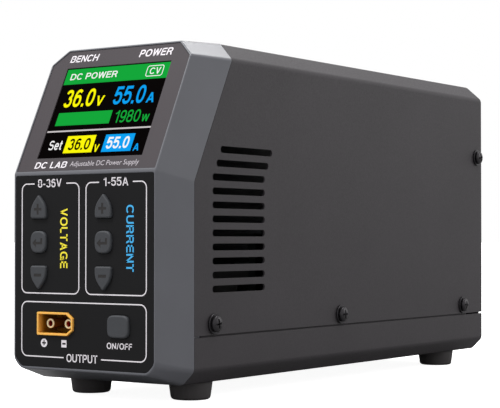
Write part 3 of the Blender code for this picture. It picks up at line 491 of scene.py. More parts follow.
def piece(name, mesh, surface_used, matrix=AT_FACE, body="case", stands_for=()):
    """One visible piece: placed, given its material, and fixed to a body."""
    made = bpy.data.objects.new(name, mesh)
    bpy.context.scene.collection.objects.link(made)
    made.matrix_world = matrix
    mesh.name = name
    mesh.materials.clear()
    mesh.materials.append(surface_used)
    made.modifiers.new("normals", "WEIGHTED_NORMAL").keep_sharp = True
    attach(made, body)
    if stands_for:
        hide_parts(*stands_for)
    return made


# ---------------------------------------------------------------- materials

def linear(srgb):
    """An 8-bit sRGB colour as linear light."""
    shares = [channel / 255 for channel in srgb]
    return [s / 12.92 if s <= 0.04045 else ((s + 0.055) / 1.055) ** 2.4 for s in shares]


def shades(srgb, spread):
    """A darker and a lighter tone of an 8-bit colour."""
    return [[c * (1 + way * spread) for c in linear(srgb)] for way in (-1, 1)]


class Nodes:
    """Short names for building a material's node tree."""

    def __init__(self, name):
        self.material = bpy.data.materials.new(name)
        self.material.use_nodes = True
        self.tree = self.material.node_tree
        self.place = self.add("ShaderNodeTexCoord").outputs["Object"]

    def feed(self, node, inputs):
        """Links each input to a node's output, or sets it to a value."""
        for socket, value in inputs.items():
            if isinstance(value, bpy.types.NodeSocket):
                self.tree.links.new(value, node.inputs[socket])
            else:
                node.inputs[socket].default_value = value

    def add(self, kind, inputs=None, **settings):
        node = self.tree.nodes.new(kind)
        for key, value in settings.items():
            setattr(node, key, value)
        self.feed(node, inputs or {})
        return node

    def noise(self, scale, detail=2.0, stretch=(1, 1, 1)):
        mapping = self.add("ShaderNodeMapping", {"Vector": self.place, "Scale": stretch})
        inputs = {"Vector": mapping.outputs["Vector"], "Scale": scale, "Detail": detail}
        return self.add("ShaderNodeTexNoise", inputs).outputs["Fac"]

    def ranged(self, value, low, high, source=(0.3, 0.7)):
        """A value carried over from the source range to low and high."""
        inputs = {"Value": value, "From Min": source[0], "From Max": source[1], "To Min": low, "To Max": high}
        return self.add("ShaderNodeMapRange", inputs).outputs["Result"]

    def blend(self, factor, first, second):
        inputs = {"Factor": factor, "A": (*first, 1), "B": (*second, 1)}
        return self.add("ShaderNodeMix", inputs, data_type="RGBA").outputs["Result"]

    def bump(self, height, distance):
        inputs = {"Height": height, "Distance": distance, "Strength": 1.0}
        return self.add("ShaderNodeBump", inputs).outputs["Normal"]

    def along(self, axis):
        """How far along one of the piece's own axes a point lies."""
        return self.add("ShaderNodeSeparateXYZ", {"Vector": self.place}).outputs[axis]

    def shaded(self, inputs):
        """The finished material, with these inputs on its shader."""
        self.feed(self.tree.nodes["Principled BSDF"], inputs)
        return self.material


def surface(
    name, srgb, roughness, metallic=0.0,
    grain=1800, relief=0.00002, mottle=0.06, specular=0.5, stretch=(1, 1, 1),
):
    """A procedural surface: mottled colour, uneven roughness and a fine grain in relief."""
    nodes = Nodes(name)
    cloudy = nodes.ranged(nodes.noise(45, 3.0), 0, 1)
    fine = nodes.noise(grain, 2.0, stretch)
    return nodes.shaded({
        "Base Color": nodes.blend(cloudy, *shades(srgb, mottle)),
        "Roughness": nodes.ranged(fine, roughness * 0.9, min(1, roughness * 1.1)),
        "Normal": nodes.bump(fine, relief),
        "Metallic": metallic,
        "Specular IOR Level": specular,
    })


def powder_coat(name, srgb, roughness):
    """Fine-textured powder coat: pebbled relief with tiny lighter and darker flecks."""
    nodes = Nodes(name)
    pebbles = nodes.noise(1500, 3.0)
    flecks = nodes.ranged(nodes.noise(4200, 1.0), -0.35, 0.35)
    cloudy = nodes.ranged(nodes.noise(18), 0.3, 0.7)
    tone = nodes.add("ShaderNodeMath", {0: flecks, 1: cloudy}, operation="ADD")
    return nodes.shaded({
        "Base Color": nodes.blend(tone.outputs["Value"], *shades(srgb, 0.14)),
        "Roughness": nodes.ranged(pebbles, roughness - 0.06, roughness + 0.08),
        "Normal": nodes.bump(pebbles, 0.00004),
        "Specular IOR Level": 0.25,
    })


def brushed(name, srgb, roughness, stretch):
    """Metal with fine lines drawn along one way."""
    return surface(name, srgb, roughness, 1.0, grain=900, relief=0.000008, mottle=0.08, stretch=stretch)


def amber_nylon():
    """Translucent orange nylon, pale at the rim, with painted shade that turns it browner down the mouth."""
    nodes = Nodes("amber_nylon")
    cloudy = nodes.noise(120)
    # painted shade: the colour turns browner the further a point lies into the mouth
    deep = nodes.ranged(nodes.along("Y"), 0, 1, (-0.0006, 0.0035))
    shade = nodes.add("ShaderNodeMath", {0: cloudy, 1: 0.12, 2: deep}, operation="MULTIPLY_ADD")
    return nodes.shaded({
        "Base Color": nodes.blend(shade.outputs["Value"], linear((255, 190, 86)), linear((150, 96, 4))),
        "Roughness": nodes.ranged(cloudy, 0.32, 0.42),
        "Normal": nodes.bump(nodes.noise(900), 0.00001),
        "Subsurface Weight": 0.15,
        "Subsurface Radius": (1.0, 0.45, 0.12),
        "Subsurface Scale": 0.0015,
    })


def plated_contact():
    """Gold plating with painted light: a painted highlight makes the rolled rim pale, and painted shade with
    a painted amber reflection darkens the barrel.
    """
    nodes = Nodes("contact_gold")
    # painted highlight at the rim that fades into painted shade and a painted amber reflection down the
    # barrel
    deep = nodes.ranged(nodes.along("Z"), 0, 1, (0.0003, 0.0009))
    return nodes.shaded({
        "Base Color": nodes.blend(deep, linear((255, 246, 206)), linear((120, 66, 14))),
        "Roughness": nodes.ranged(nodes.noise(900, 2.0, (1, 6, 1)), 0.3, 0.42),
        "Normal": nodes.bump(nodes.noise(1800), 0.000006),
        "Metallic": 0.2,
    })


def ink(name, srgb):
    """Screen-printed ink with slightly uneven cover."""
    return surface(name, srgb, 0.6, grain=2600, relief=0.000004, mottle=0.03, specular=0.3)


def lit(name, srgb):
    """A lit part of the screen, very slightly uneven close up."""
    nodes = Nodes(name)
    colour = linear(srgb)
    uneven = nodes.ranged(nodes.noise(5000, 0.0), 0, 1)
    return nodes.shaded({
        "Emission Color": nodes.blend(uneven, [c * 0.97 for c in colour], colour),
        "Emission Strength": 1.0,
        "Base Color": (0, 0, 0, 1),
        "Roughness": 0.4,
        "Specular IOR Level": 0.0,
    })


def circuit_board():
    """Green solder mask over a grid of copper tracks."""
    nodes = Nodes("circuit_board")
    inputs = {"Vector": nodes.place, "Scale": 160, "Mortar Size": 0.06}
    for socket, srgb in {"Color1": (18, 66, 42), "Color2": (24, 78, 50), "Mortar": (52, 112, 66)}.items():
        inputs[socket] = (*linear(srgb), 1)
    tracks = nodes.add("ShaderNodeTexBrick", inputs)
    return nodes.shaded({
        "Base Color": tracks.outputs["Color"],
        "Roughness": nodes.ranged(nodes.noise(300), 0.35, 0.5),
        "Normal": nodes.bump(tracks.outputs["Fac"], 0.00003),
    })


def wound_copper():
    """Enamelled wire laid side by side round a core."""
    nodes = Nodes("wound_copper")
    inputs = {"Vector": nodes.place, "Scale": 260, "Distortion": 1.5}
    turns = nodes.add("ShaderNodeTexWave", inputs, wave_type="RINGS", rings_direction="Z").outputs["Fac"]
    return nodes.shaded({
        "Base Color": nodes.blend(turns, linear((96, 46, 22)), linear((186, 104, 54))),
        "Roughness": nodes.ranged(nodes.noise(200), 0.25, 0.4),
        "Normal": nodes.bump(turns, 0.0003),
        "Metallic": 0.7,
    })


CASE_PAINT = powder_coat("case_paint", (56, 53, 56), 0.55)
BEZEL_PAINT = surface("bezel_paint", (93, 94, 100), 0.32, grain=2400, relief=0.000012, mottle=0.03)
PLATE_FINISH = {"grain": 2600, "relief": 0.000008}
PANEL_BLACK = surface("panel_black", (14, 14, 16), 0.6, mottle=0.05, specular=0.2, **PLATE_FINISH)
FASCIA_GREY = surface("fascia_grey", (59, 53, 57), 0.6, mottle=0.03, specular=0.3, **PLATE_FINISH)
SCREEN_BLACK = surface("screen_black", (2, 0, 0), 0.25, grain=800, relief=0.000001, mottle=0.3, specular=0.01)
KEY_GREY = surface("key_grey", (59, 61, 65), 0.62, grain=1800, relief=0.000015, mottle=0.04, specular=0.4)
KEY_MARK = surface("key_mark", (46, 44, 44), 0.75, grain=1800, relief=0.000010, mottle=0.05, specular=0.3)
AMBER = amber_nylon()
GOLD = plated_contact()
# painted shade, tinted red, for the inside of the contact bores
BORE_RED = surface("bore_shade", (160, 26, 10), 0.5, grain=1200)
SCREW_STEEL = surface("screw_steel", (52, 50, 53), 0.34, 0.7, grain=900, relief=0.000008, stretch=(1, 1, 6))
RUBBER = surface("foot_rubber", (68, 65, 66), 0.6, grain=1400, relief=0.00003, mottle=0.08, specular=0.35)
FAN_PLASTIC = surface("fan_plastic", (24, 24, 26), 0.48, grain=1500, relief=0.00002, mottle=0.06)
CHROME = surface("guard_chrome", (205, 205, 210), 0.12, 1.0, grain=700, relief=0.000004, mottle=0.03)
MOULDED_BLACK = surface("moulded_black", (22, 22, 24), 0.5, grain=1600, relief=0.00002, mottle=0.06)
ROCKER_BLACK = surface("rocker_black", (16, 16, 18), 0.3, grain=900, relief=0.000005, mottle=0.05)
PIN_METAL = brushed("pin_metal", (214, 202, 170), 0.25, (1, 8, 1))
RED_WIRE = surface("red_silicone", (150, 18, 18), 0.55, grain=1200, relief=0.00001)
BLACK_WIRE = surface("black_silicone", (20, 20, 22), 0.55, grain=1200, relief=0.00001)
MODULE_METAL = brushed("module_metal", (130, 132, 136), 0.35, (8, 1, 1))
# painted shade: the heatsink metal is darkened far below bare aluminium so the inside seen through the slots
# stays dark
ALUMINIUM_PAINTED_SHADE = brushed("heatsink_aluminium_painted_shade", (60, 62, 66), 0.4, (1, 0.1, 1))
FERRITE = surface("ferrite", (46, 44, 46), 0.6, grain=700, relief=0.00004, mottle=0.12)
SLEEVE = surface("capacitor_sleeve", (26, 32, 66), 0.35, grain=400, relief=0.00001)
PCB = circuit_board()
COPPER = wound_copper()
WHITE_INK = ink("white_ink", (232, 227, 232))
GREY_INK = ink("grey_ink", (178, 172, 178))
YELLOW_INK = ink("yellow_ink", (255, 238, 60))
BLUE_INK = ink("blue_ink", (70, 180, 240))
LIT_GREEN = lit("lit_green", (21, 168, 59))
LIT_WHITE = lit("lit_white", (250, 250, 250))
LIT_YELLOW = lit("lit_yellow", (255, 250, 10))
LIT_BLUE = lit("lit_blue", (14, 162, 244))
LIT_GREY = lit("lit_grey", (205, 200, 200))
UNLIT = lit("unlit", (2, 2, 2))


# ---------------------------------------------------------------- sheet metal

def side_hole_cutters(places):
    """Round holes through both sides, at each (depth, height)."""
    holes = []
    for depth, height in places:
        outline = circle(SCREW_HOLE, 32, (depth, height))
        holes.append(extruded(outline, "X", *THROUGH))
    return holes


def cover_skin():
    """Folded cover with rounded bends and round-ended slots, cut to follow the bezel."""
    outer = case_section()
    inner = inset(outer, SHEET)
    foot = COVER_FOOT + 0.0001
    corners = [(HALF, foot)] + outer[1:5] + [(-HALF, foot), (-HALF + SHEET, foot)]
    corners += inner[4:0:-1] + [(HALF - SHEET, foot)]
    radii = [0] + [BEND] * 4 + [0, 0] + [BEND - SHEET] * 4 + [0]
    body = extruded(rounded(corners, radii), "Y", 0, CASE_BACK)
    front = BEZEL_DEPTH + JOINT
    kink_z = KINK_Z - front * tan(TILT / 2)
    above = CASE_TOP + 0.01
    wedge = [(-0.01, 0), (front, 0), (front, kink_z)]
    wedge += [(front + (above - kink_z) * tan(JOINT_TILT), above), (-0.01, above)]
    cuts = [extruded(wedge, "X", *THROUGH)]
    for i in range(SLOT_COUNT):
        start = SLOT_FRONT + max(0, i - (SLOT_COUNT - 1 - STEPPED_SLOTS)) * SLOT_STEP
        outline = slot_outline(start, start + SLOT_LENGTH, SLOT_LOWEST_Z + i * SLOT_PITCH, SLOT_HEIGHT)
        cuts.append(extruded(outline, "X", *THROUGH))
    cuts += side_hole_cutters(SIDE_SCREWS)
    mesh = carved(body, cuts, bevel=0.00012)
    piece("cover_skin", mesh, CASE_PAINT, stands_for=["top_cover"])


def chassis_tray():
    """Tray with rounded bends and the joggled flanges that the cover screws into."""
    outer = case_section()
    inner = inset(outer, SHEET)
    rim = COVER_FOOT - 0.00075
    corners = [(-HALF, rim), outer[5], outer[6], outer[7], outer[0], (HALF, rim)]
    corners += [(HALF - SHEET, rim), inner[0], inner[7], inner[6], inner[5], (-HALF + SHEET, rim)]
    radii = [0] + [BEND] * 4 + [0, 0] + [BEND - SHEET] * 4 + [0]
    tray = extruded(rounded(corners, radii), "Y", BEZEL_DEPTH + JOINT, CASE_BACK)
    outside = HALF - SHEET - GAP
    jogged, step_top, step_low = HALF - 0.0006, rim - 0.0002, rim - 0.0014
    flange = [(outside - SHEET, step_low), (jogged, step_low), (jogged, step_top)]
    flange += [(outside, step_top), (outside, FLANGE_TOP), (outside - SHEET, FLANGE_TOP)]
    joins = []
    for side in (1, -1):
        outline = [(side * x, z) for x, z in flange]
        joins.append(extruded(outline, "Y", BEZEL_DEPTH + LIP_LENGTH + 2 * GAP, FLANGE_BACK))
    cuts = side_hole_cutters(SIDE_SCREWS[:3])
    for side in (1, -1):
        for depth in FOOT_DEPTHS:
            outline = circle(SCREW_HOLE, 32, (side * FOOT_X, depth))
            cuts.append(extruded(outline, "Z", CASE_BOTTOM - 0.004, CASE_BOTTOM + 0.004))
    mesh = carved(tray, cuts, joins, bevel=0.00012)
    piece("chassis_tray", mesh, CASE_PAINT, stands_for=["bottom_chassis"])


def back_plate():
    """Back plate with its flanges and openings."""
    corners = inset(case_section(), SHEET + GAP)
    plate = extruded(rounded(corners, BEND - SHEET), "Y", *REAR_PANEL)
    outside = HALF - SHEET - GAP
    thick = REAR_PANEL[1] - REAR_PANEL[0]
    flanges = [rectangle(thick, 0.090, (side * (outside - thick / 2), 0.105)) for side in (1, -1)]
    flanges.append(rectangle(0.070, thick, (0, CASE_BOTTOM + SHEET + GAP + thick / 2)))
    joins = [extruded(flange, "Y", PANEL_FLANGE_FRONT, REAR_FACE - thick / 2) for flange in flanges]
    holes = [circle(0.038, 96, (0, FAN_Z))]
    holes += [circle(SCREW_HOLE, 32, corner) for corner in fan_corners()]
    for (width, height), at in ((INLET_BODY, INLET_AT), (SWITCH_BODY, SWITCH_AT)):
        holes.append(rectangle(width + 2 * GAP, height + 2 * GAP, at))
    cuts = [extruded(hole, "Y", REAR_PANEL[0] - 0.004, REAR_FACE + 0.004) for hole in holes]
    cuts += side_hole_cutters(SIDE_SCREWS[3:])
    mesh = carved(plate, cuts, joins, bevel=0.00015)
    piece("back_plate", mesh, CASE_PAINT, stands_for=["rear_panel"])


# ---------------------------------------------------------------- front

def bezel_shell():
    """Tapered shell: rounded front edge, softly rounded corners, a pocket for each plate."""
    face_radii = [0.0055] + [0.0022] * 4 + [0.0055] * 3
    back_radii = [BEND] + [0.0026] * 4 + [BEND] * 3
    loops = []
    for turn in quarter(6):
        depth = FACE_ROUND * (1 - cos(turn))
        pulled = inset(bezel_section(depth), FACE_ROUND * (1 - sin(turn)) * 0.75)
        loops.append((rounded(pulled, face_radii), depth))
    tongue = rounded(inset(case_section(), SHEET + GAP), 0.0010)
    loops += [
        (rounded(bezel_section(FLARE_DEPTH - 0.0004), back_radii), FLARE_DEPTH - 0.0004),
        (rounded(bezel_section(FLARE_DEPTH), back_radii), FLARE_DEPTH + 0.0001),
        (rounded(case_section(), back_radii), BEZEL_DEPTH - 0.0002),
        (rounded(inset(case_section(), 0.0002), back_radii), BEZEL_DEPTH),
        (tongue, BEZEL_DEPTH),
        (tongue, BEZEL_DEPTH + LIP_LENGTH),
    ]
    shell = kinked(loops)

    inner = inset(case_section(), SHEET + GAP + LIP_WALL)
    hollow = [(inset(bezel_section(LEDGE_BACK), BEZEL_WALL), LEDGE_BACK)]
    hollow += [(inner, FLARE_DEPTH), (inner, BEZEL_DEPTH + LIP_LENGTH + 0.01)]
    ahead, ledge = -0.008, 0.003
    top, low = PANEL_TOP - ledge, PANEL_BOTTOM + ledge
    window = rectangle(2 * (PANEL_HALF - ledge), top - low, (0, (top + low) / 2))
    screen = rectangle(0.072, 0.0588, (0, 0.0331))
    fascia_pocket = extruded(inset(fascia_outline(), -PLAY), "Y", ahead, FASCIA_SUNK + PLATE + PLAY)
    cuts = [
        kinked(hollow),
        extruded(inset(panel_outline(), -PLAY), "Y", ahead, PLATE + PLAY),
        extruded(window, "Y", ahead, LEDGE_BACK + 0.001),
        tilted(fascia_pocket),
        tilted(extruded(screen, "Y", ahead, LEDGE_BACK + 0.002)),
    ]
    mesh = carved(shell, cuts, bevel=0.00030, angle=55)
    piece("bezel_shell", mesh, BEZEL_PAINT, stands_for=["front_bezel"])


def tilted(mesh):
    """Moves a shape modelled on the slope into the upright face's frame."""
    mesh.transform(AT_FACE.inverted() @ ON_SLOPE)
    return mesh


def key_places():
    """Each key's node name, with its kind and its centre."""
    places = {}
    for column, x in KEY_COLUMNS.items():
        for row, z in KEY_ROWS.items():
            places[f"{column}_{row}_key"] = (row, (x, z))
    places["output_key"] = ("output", OUTPUT_KEY_AT)
    return places


def panel_plate():
    """Black plate with an opening for each key and for the socket."""
    body = extruded(panel_outline(), "Y", 0, PLATE)
    openings = [moved(key_outline(kind, -KEY_GAP), centre) for kind, centre in key_places().values()]
    openings.append(moved(socket_outline(-KEY_GAP), SOCKET_AT))
    cuts = [extruded(opening, "Y", -0.003, PLATE + 0.003) for opening in openings]
    mesh = carved(body, cuts, bevel=0.00010)
    piece("panel_plate", mesh, PANEL_BLACK, stands_for=["control_panel"])


def screen_outline():
    """The window over the screen, on the slope."""
    return rectangle(2 * SCREEN_HALF, SCREEN_TOP - SCREEN_BOTTOM, (0, (SCREEN_TOP + SCREEN_BOTTOM) / 2))


def fascia_plate():
    """Plate of the leaning face, open over the screen."""
    body = extruded(fascia_outline(), "Y", FASCIA_SUNK, FASCIA_SUNK + PLATE)
    mesh = carved(body, [extruded(screen_outline(), "Y", -0.003, 0.006)], bevel=0.00012)
    piece("fascia_plate", mesh, FASCIA_GREY, ON_SLOPE, stands_for=["display_fascia"])


def screen_window():
    """The lens, just smaller than the fascia's window."""
    outline = inset(screen_outline(), 0.0001)
    mesh = carved(extruded(outline, "Y", SCREEN_SUNK, SCREEN_SUNK + LENS), bevel=0.00008)
    piece("screen_window", mesh, SCREEN_BLACK, ON_SLOPE, stands_for=["display_lens"])


def key_cap(name, kind, centre):
    """Key cap with a rounded edge, an engraved mark, a flange and a stem."""
    whole, wide = key_outline(kind), key_outline(kind, -KEY_FLANGE)
    stem = [(x * 0.3, z * 0.3) for x, z in whole]
    back, flange_back, stem_back = PLATE + GAP, 0.0034, 0.0061
    layers = []
    for turn in quarter(6):
        pulled = key_outline(kind, KEY_ROUND * (1 - sin(turn)))
        layers.append((pulled, -KEY_PROUD + KEY_ROUND * (1 - cos(turn))))
    layers += [(whole, back), (wide, back), (wide, flange_back), (stem, flange_back), (stem, stem_back)]
    cap = lofted([in_plane(outline, "Y", depth) for outline, depth in layers])
    at = on_face(centre[0], 0, centre[1])
    mark = mark_outline(kind)
    if mark:
        floor = -KEY_PROUD + MARK_DEPTH
        cap = carved(cap, [extruded(mark, "Y", -KEY_PROUD - 0.001, floor)])
        inlay = extruded(inset(mark, 0.00001), "Y", -KEY_PROUD + MARK_DEPTH / 3, floor + 0.0001)
        piece(name + "_mark", inlay, KEY_MARK, at, name)
    piece(name + "_cap", cap, KEY_GREY, at, name, [name])


def plus_outline(wide, tall, thick, centre=(0, 0)):
    """A plus sign."""
    w, h, t = wide / 2, tall / 2, thick / 2
    arm = [(t, -h), (t, -t), (w, -t), (w, t), (t, t), (t, h)]
    return moved(arm + [(-x, -z) for x, z in arm], centre)


def mark_outline(kind):
    """Plus near the foot of the up key, minus near the foot of the down key, a return arrow."""
    thick, off = 0.0012, 0.0011
    if kind == "up":
        return plus_outline(0.0046, 0.0050, thick, (0, -off))
    if kind == "down":
        return rectangle(0.0046, 0.0014, (0, off))
    if kind == "output":
        return None
    right, top, low, head, spread = 0.0029, 0.0018, -0.0011, -0.0010, 0.0021
    upright = [(right, low), (right, top), (right - thick, top), (right - thick, low + thick)]
    arrow = [(head, low + thick), (head, low + thick / 2 + spread), (-0.0033, low + thick / 2)]
    return upright + arrow + [(head, low + thick / 2 - spread), (head, low)]


def key_caps():
    """All seven keys."""
    for name, (kind, centre) in key_places().items():
        key_cap(name, kind, centre)


def socket_shell():
    """Amber shell with a deep keyed mouth."""
    outline = moved(socket_outline(), SOCKET_AT)
    layers = [
        (outline, -SOCKET_PROUD, PLATE + GAP),
        (inset(outline, -0.0012), PLATE + GAP, PLATE + GAP + 0.002),
        (outline, PLATE + GAP + 0.002, SOCKET_BACK),
    ]
    mouth = moved(socket_outline(SOCKET_WALL), SOCKET_AT)
    cuts = [extruded(mouth, "Y", -SOCKET_PROUD - 0.002, SOCKET_FLOOR)]
    for x in CONTACTS.values():
        hole = circle(CONTACT_RADIUS + GAP, 32, (x, SOCKET_AT[1]))
        cuts.append(extruded(hole, "Y", SOCKET_FLOOR - 0.002, SOCKET_BACK + 0.002))
    mesh = carved(stepped(layers), cuts, bevel=0.00018, segments=3, angle=50)
    piece("socket_shell", mesh, AMBER, stands_for=["output_socket"])


def contact_tubes():
    """Gold tubes with a rolled rim. A red liner down each bore is painted shade."""
    length = CONTACT_BACK - CONTACT_FRONT
    middle, rim = (CONTACT_RADIUS + CONTACT_BORE) / 2, (CONTACT_RADIUS - CONTACT_BORE) / 2
    profile = [(0, 0.012), (CONTACT_BORE, 0.012)]
    profile += arc((middle, rim), rim, 180, 360, 8)
    profile += [(CONTACT_RADIUS, length), (0, length)]
    outer, inner, near = CONTACT_BORE - 0.00002, CONTACT_BORE - 0.00015, 0.0007
    # painted shade: a red liner lines each bore, where the real tube is only shadowed inside
    liner = [(0, 0.0112), (outer, 0.0112), (outer, near), (inner, near), (inner, 0.0110), (0, 0.0110)]
    for pole, x in CONTACTS.items():
        at = facing_back(x, CONTACT_FRONT, SOCKET_AT[1])
        piece(f"{pole}_tube", turned(profile), GOLD, at, stands_for=[f"{pole}_contact"])
        piece(f"{pole}_bore", turned(liner), BORE_RED, at)


# ---------------------------------------------------------------- screws and feet

def cross_cutters(size, depth, top):
    """Two wedges that leave a cross recess in a screw head."""
    wedges = []
    for turn in (0, pi / 2):
        near = rectangle(2.6 * size, size * 0.44)
        far = rectangle(1.3 * size, size * 0.36)
        wedge = lofted([in_plane(far, "Z", top - depth), in_plane(near, "Z", top + 0.001)])
        wedge.transform(Matrix.Rotation(turn, 4, "Z"))
        wedges.append(wedge)
    return wedges


def pan_head(radius, height, base=0.0, shank_end=-0.006):
    """Turned profile of a pan-head screw whose head stands on the base height."""
    edge = height * 0.35
    crown = [(radius * cos(a), base + edge + (height - edge) * sin(a)) for a in quarter(10)]
    crown[-1] = (0, base + height)
    start = [(0, shank_end), (SCREW_SHANK - 0.0002, shank_end), (SCREW_SHANK, shank_end + 0.0003)]
    return start + [(SCREW_SHANK, base), (radius - 0.0002, base), (radius, base + 0.0002)] + crown


def side_screws():
    """Pan-head screws with a cross recess, each on its washer."""
    hole, rim, thick, soft = 0.0021, 0.0048, 0.0010, 0.0002
    washer = [(hole, 0), (rim - soft, 0), (rim, soft)]
    washer += [(rim, thick - soft), (rim - soft, thick), (hole, thick)]
    head_base, head_height = 0.0012, 0.0021
    for side, sign in SIGNS.items():
        for i, (depth, height) in enumerate(SIDE_SCREWS):
            spin = Matrix.Rotation(radians((8, 2, -4, 12)[i]), 4, "Z")
            out = Matrix.Rotation(sign * pi / 2, 4, "Y")
            at = on_face(sign * (HALF + SEAT), depth, height) @ out @ spin
            name = f"{side}_{i + 1}"
            body = turned(pan_head(0.0038, head_height, head_base))
            cuts = cross_cutters(0.0023, 0.0019, head_base + head_height)
            screw = carved(body, cuts, bevel=SEAT, segments=1)
            piece(f"screw_{name}", screw, SCREW_STEEL, at, stands_for=[f"cover_screw_{name}"])
            piece(f"washer_{name}", turned(washer, closed=True), SCREW_STEEL, at)


def feet():
    """Moulded rubber feet with a rounded lower edge and a counterbored screw."""
    top = CASE_BOTTOM - 0.00005
    outer = arc((0.0078, 0.0017), 0.0017, 270, 355, 8)
    profile = outer + [(0.0100, 0.0050), (0.0104, top - 0.0003), (0.0102, top), (SCREW_HOLE, top)]
    profile += [(SCREW_HOLE, 0.0032), (0.0047, 0.0032), (0.0050, 0.0029), (0.0050, 0.0006), (0.0054, 0)]
    screw_top = CASE_BOTTOM + SHEET + 0.004
    head = [(0, 0.0010), (0.0030, 0.0010), (0.0038, 0.0016), (0.0040, 0.0024), (0.0040, 0.0031)]
    head += [(SCREW_SHANK, 0.0031), (SCREW_SHANK, screw_top), (0, screw_top)]
    for side, sign in SIGNS.items():
        for end, depth in zip(("front", "rear"), FOOT_DEPTHS):
            at = on_face(sign * FOOT_X, depth, 0)
            name = f"{end}_{side}"
            foot = turned(profile, 64, closed=True)
            piece(f"rubber_foot_{name}", foot, RUBBER, at, stands_for=[f"foot_{name}"])
            recess = cross_cutters(0.0022, 0.0014, 0.0)
            for wedge in recess:
                wedge.transform(Matrix.Translation((0, 0, 0.0010)) @ Matrix.Rotation(pi, 4, "X"))
            screw = carved(turned(head, 40), recess)
            node = f"foot_screw_{name}"
            piece(f"foot_fixing_{name}", screw, SCREW_STEEL, at, stands_for=[node])


# ---------------------------------------------------------------- back

def fan_corners():
    """Centres of the fan's four screws."""
    return [(x, FAN_Z + z) for x in (-FAN_HOLES, FAN_HOLES) for z in (-FAN_HOLES, FAN_HOLES)]


def fan_housing():
    """Square frame with a round bore, and struts that hold the bearing."""
    front = FAN_BACK - FAN_DEPTH
    outline = rounded(rectangle(FAN_SIZE, FAN_SIZE, (0, FAN_Z)), 0.004)
    body = extruded(outline, "Y", front, FAN_BACK)
    openings = [circle(FAN_BORE, 96, (0, FAN_Z))] + [circle(SCREW_HOLE, 24, at) for at in fan_corners()]
    cuts = [extruded(each, "Y", front - 0.01, FAN_BACK + 0.01) for each in openings]
    ring = carved(body, cuts, bevel=0.0003)
    strut_front = FAN_BACK - 0.003
    struts = []
    for turn in (pi / 4, 3 * pi / 4):
        along = Vector((cos(turn), sin(turn))) * (FAN_BORE + 0.0012)
        across = Vector((-sin(turn), cos(turn))) * 0.0016
        strut = [along - across, along + across, -along + across, -along - across]
        strut = [(p.x, p.y + FAN_Z) for p in strut]
        struts.append(extruded(strut, "Y", strut_front, FAN_BACK - 0.0002))
    disc = circle(0.017, 64, (0, FAN_Z))
    struts.append(extruded(disc, "Y", strut_front - 0.0002, FAN_BACK - 0.0004))
    piece("fan_housing", carved(ring, (), struts), FAN_PLASTIC, stands_for=["fan_frame"])


def blade(turn):
    """A twisted blade with a thin rounded section, wider at its tip."""
    root, span, stations, points_round = 0.0150, 0.0210, 7, 16
    out = Vector((cos(turn), sin(turn), 0))
    round_way = Vector((-sin(turn), cos(turn), 0))
    up = Vector((0, 0, 1))
    loops = []
    for k in range(stations):
        share = k / (stations - 1)
        pitch = 0.95 - 0.36 * share
        half = 0.0055 + 0.0038 * share
        along = round_way * cos(pitch) + up * sin(pitch)
        across = round_way * -sin(pitch) + up * cos(pitch)
        loop = []
        for i in range(points_round):
            angle = 2 * pi * i / points_round
            camber = 0.0012 * (1 - cos(angle) ** 2)
            here = out * (root + share * span) + along * half * cos(angle)
            loop.append(here + across * (0.0006 * sin(angle) + camber))
        loops.append(loop)
    return lofted(loops)


def fan_blades():
    """Hub and blades, in one moulding."""
    back, radius, soft = 0.019 / 2, 0.0165, 0.001
    profile = [(0, -back), (radius - soft, -back), (radius, -back + soft)]
    profile += [(radius, back - soft), (radius - soft, back), (0, back)]
    mesh = carved(turned(profile, 64), (), [blade(2 * pi * i / FAN_BLADES) for i in range(FAN_BLADES)])
    at = facing_back(0, FAN_BACK - 0.0135, FAN_Z)
    piece("fan_blades", mesh, FAN_PLASTIC, at, "fan_rotor", ["fan_rotor"])


def wire_guard():
    """Chromed wire grille: rings on four spokes that end in eyelets."""
    rings = [turned(circle(GUARD_WIRE, 10, (radius, 0)), 72, closed=True) for radius in GUARD_RINGS]
    upper = [(0.0075, 0.0003), (0.0072, 0.0006), (0, 0.0006)]
    disc = [(x, -z) for x, z in reversed(upper)] + upper
    parts = rings[1:] + [turned(disc)]
    reach = FAN_HOLES * sqrt(2)
    eye = [(SCREW_HOLE, -GUARD_WIRE), (0.0040, -GUARD_WIRE), (0.0040, GUARD_WIRE), (SCREW_HOLE, GUARD_WIRE)]
    for i in range(4):
        run = Matrix.Rotation(pi / 4 + i * pi / 2, 4, "Z")
        spoke = extruded(circle(GUARD_WIRE * 0.95, 12), "X", 0.005, reach - 0.0032)
        spoke.transform(run)
        parts.append(spoke)
        eyelet = turned(eye, 32, closed=True)
        eyelet.transform(run @ Matrix.Translation((reach, 0, 0)))
        parts.append(eyelet)
    mesh = carved(rings[0], (), parts)
    at = facing_back(0, REAR_FACE + GAP + GUARD_WIRE, FAN_Z)
    piece("wire_guard", mesh, CHROME, at, stands_for=["fan_guard"])


def fan_screws():
    """Pan-head screws over the guard's eyelets."""
    start = REAR_FACE + GAP + 2 * GUARD_WIRE + 0.00005
    for i, (x, z) in enumerate(fan_corners()):
        at = facing_back(x, start, z) @ Matrix.Rotation(radians(35 * i + 12), 4, "Z")
        mesh = carved(turned(pan_head(0.0039, 0.0022, 0, -0.014)), cross_cutters(0.0022, 0.0015, 0.0022))
        piece(f"fan_fixing_{i + 1}", mesh, SCREW_STEEL, at, stands_for=[f"fan_screw_{i + 1}"])


def flanged(body, flange, at, soft, mouth, holes=()):
    """A moulded body behind the panel with a flange on it, a mouth (outline, floor) and pin holes."""
    layers = [
        (rounded(rectangle(*body, at), soft), MOULDING_FRONT, FLANGE_SEAT - 0.0002),
        (rounded(rectangle(*flange, at), soft), FLANGE_SEAT - 0.0002, FLANGE_SEAT + FLANGE),
    ]
    outline, floor = mouth
    cuts = [extruded(outline, "Y", floor, FLANGE_SEAT + FLANGE + 0.002)]
    cuts += [extruded(hole, "Y", MOULDING_FRONT - 0.002, floor + 0.002) for hole in holes]
    return stepped(layers), cuts


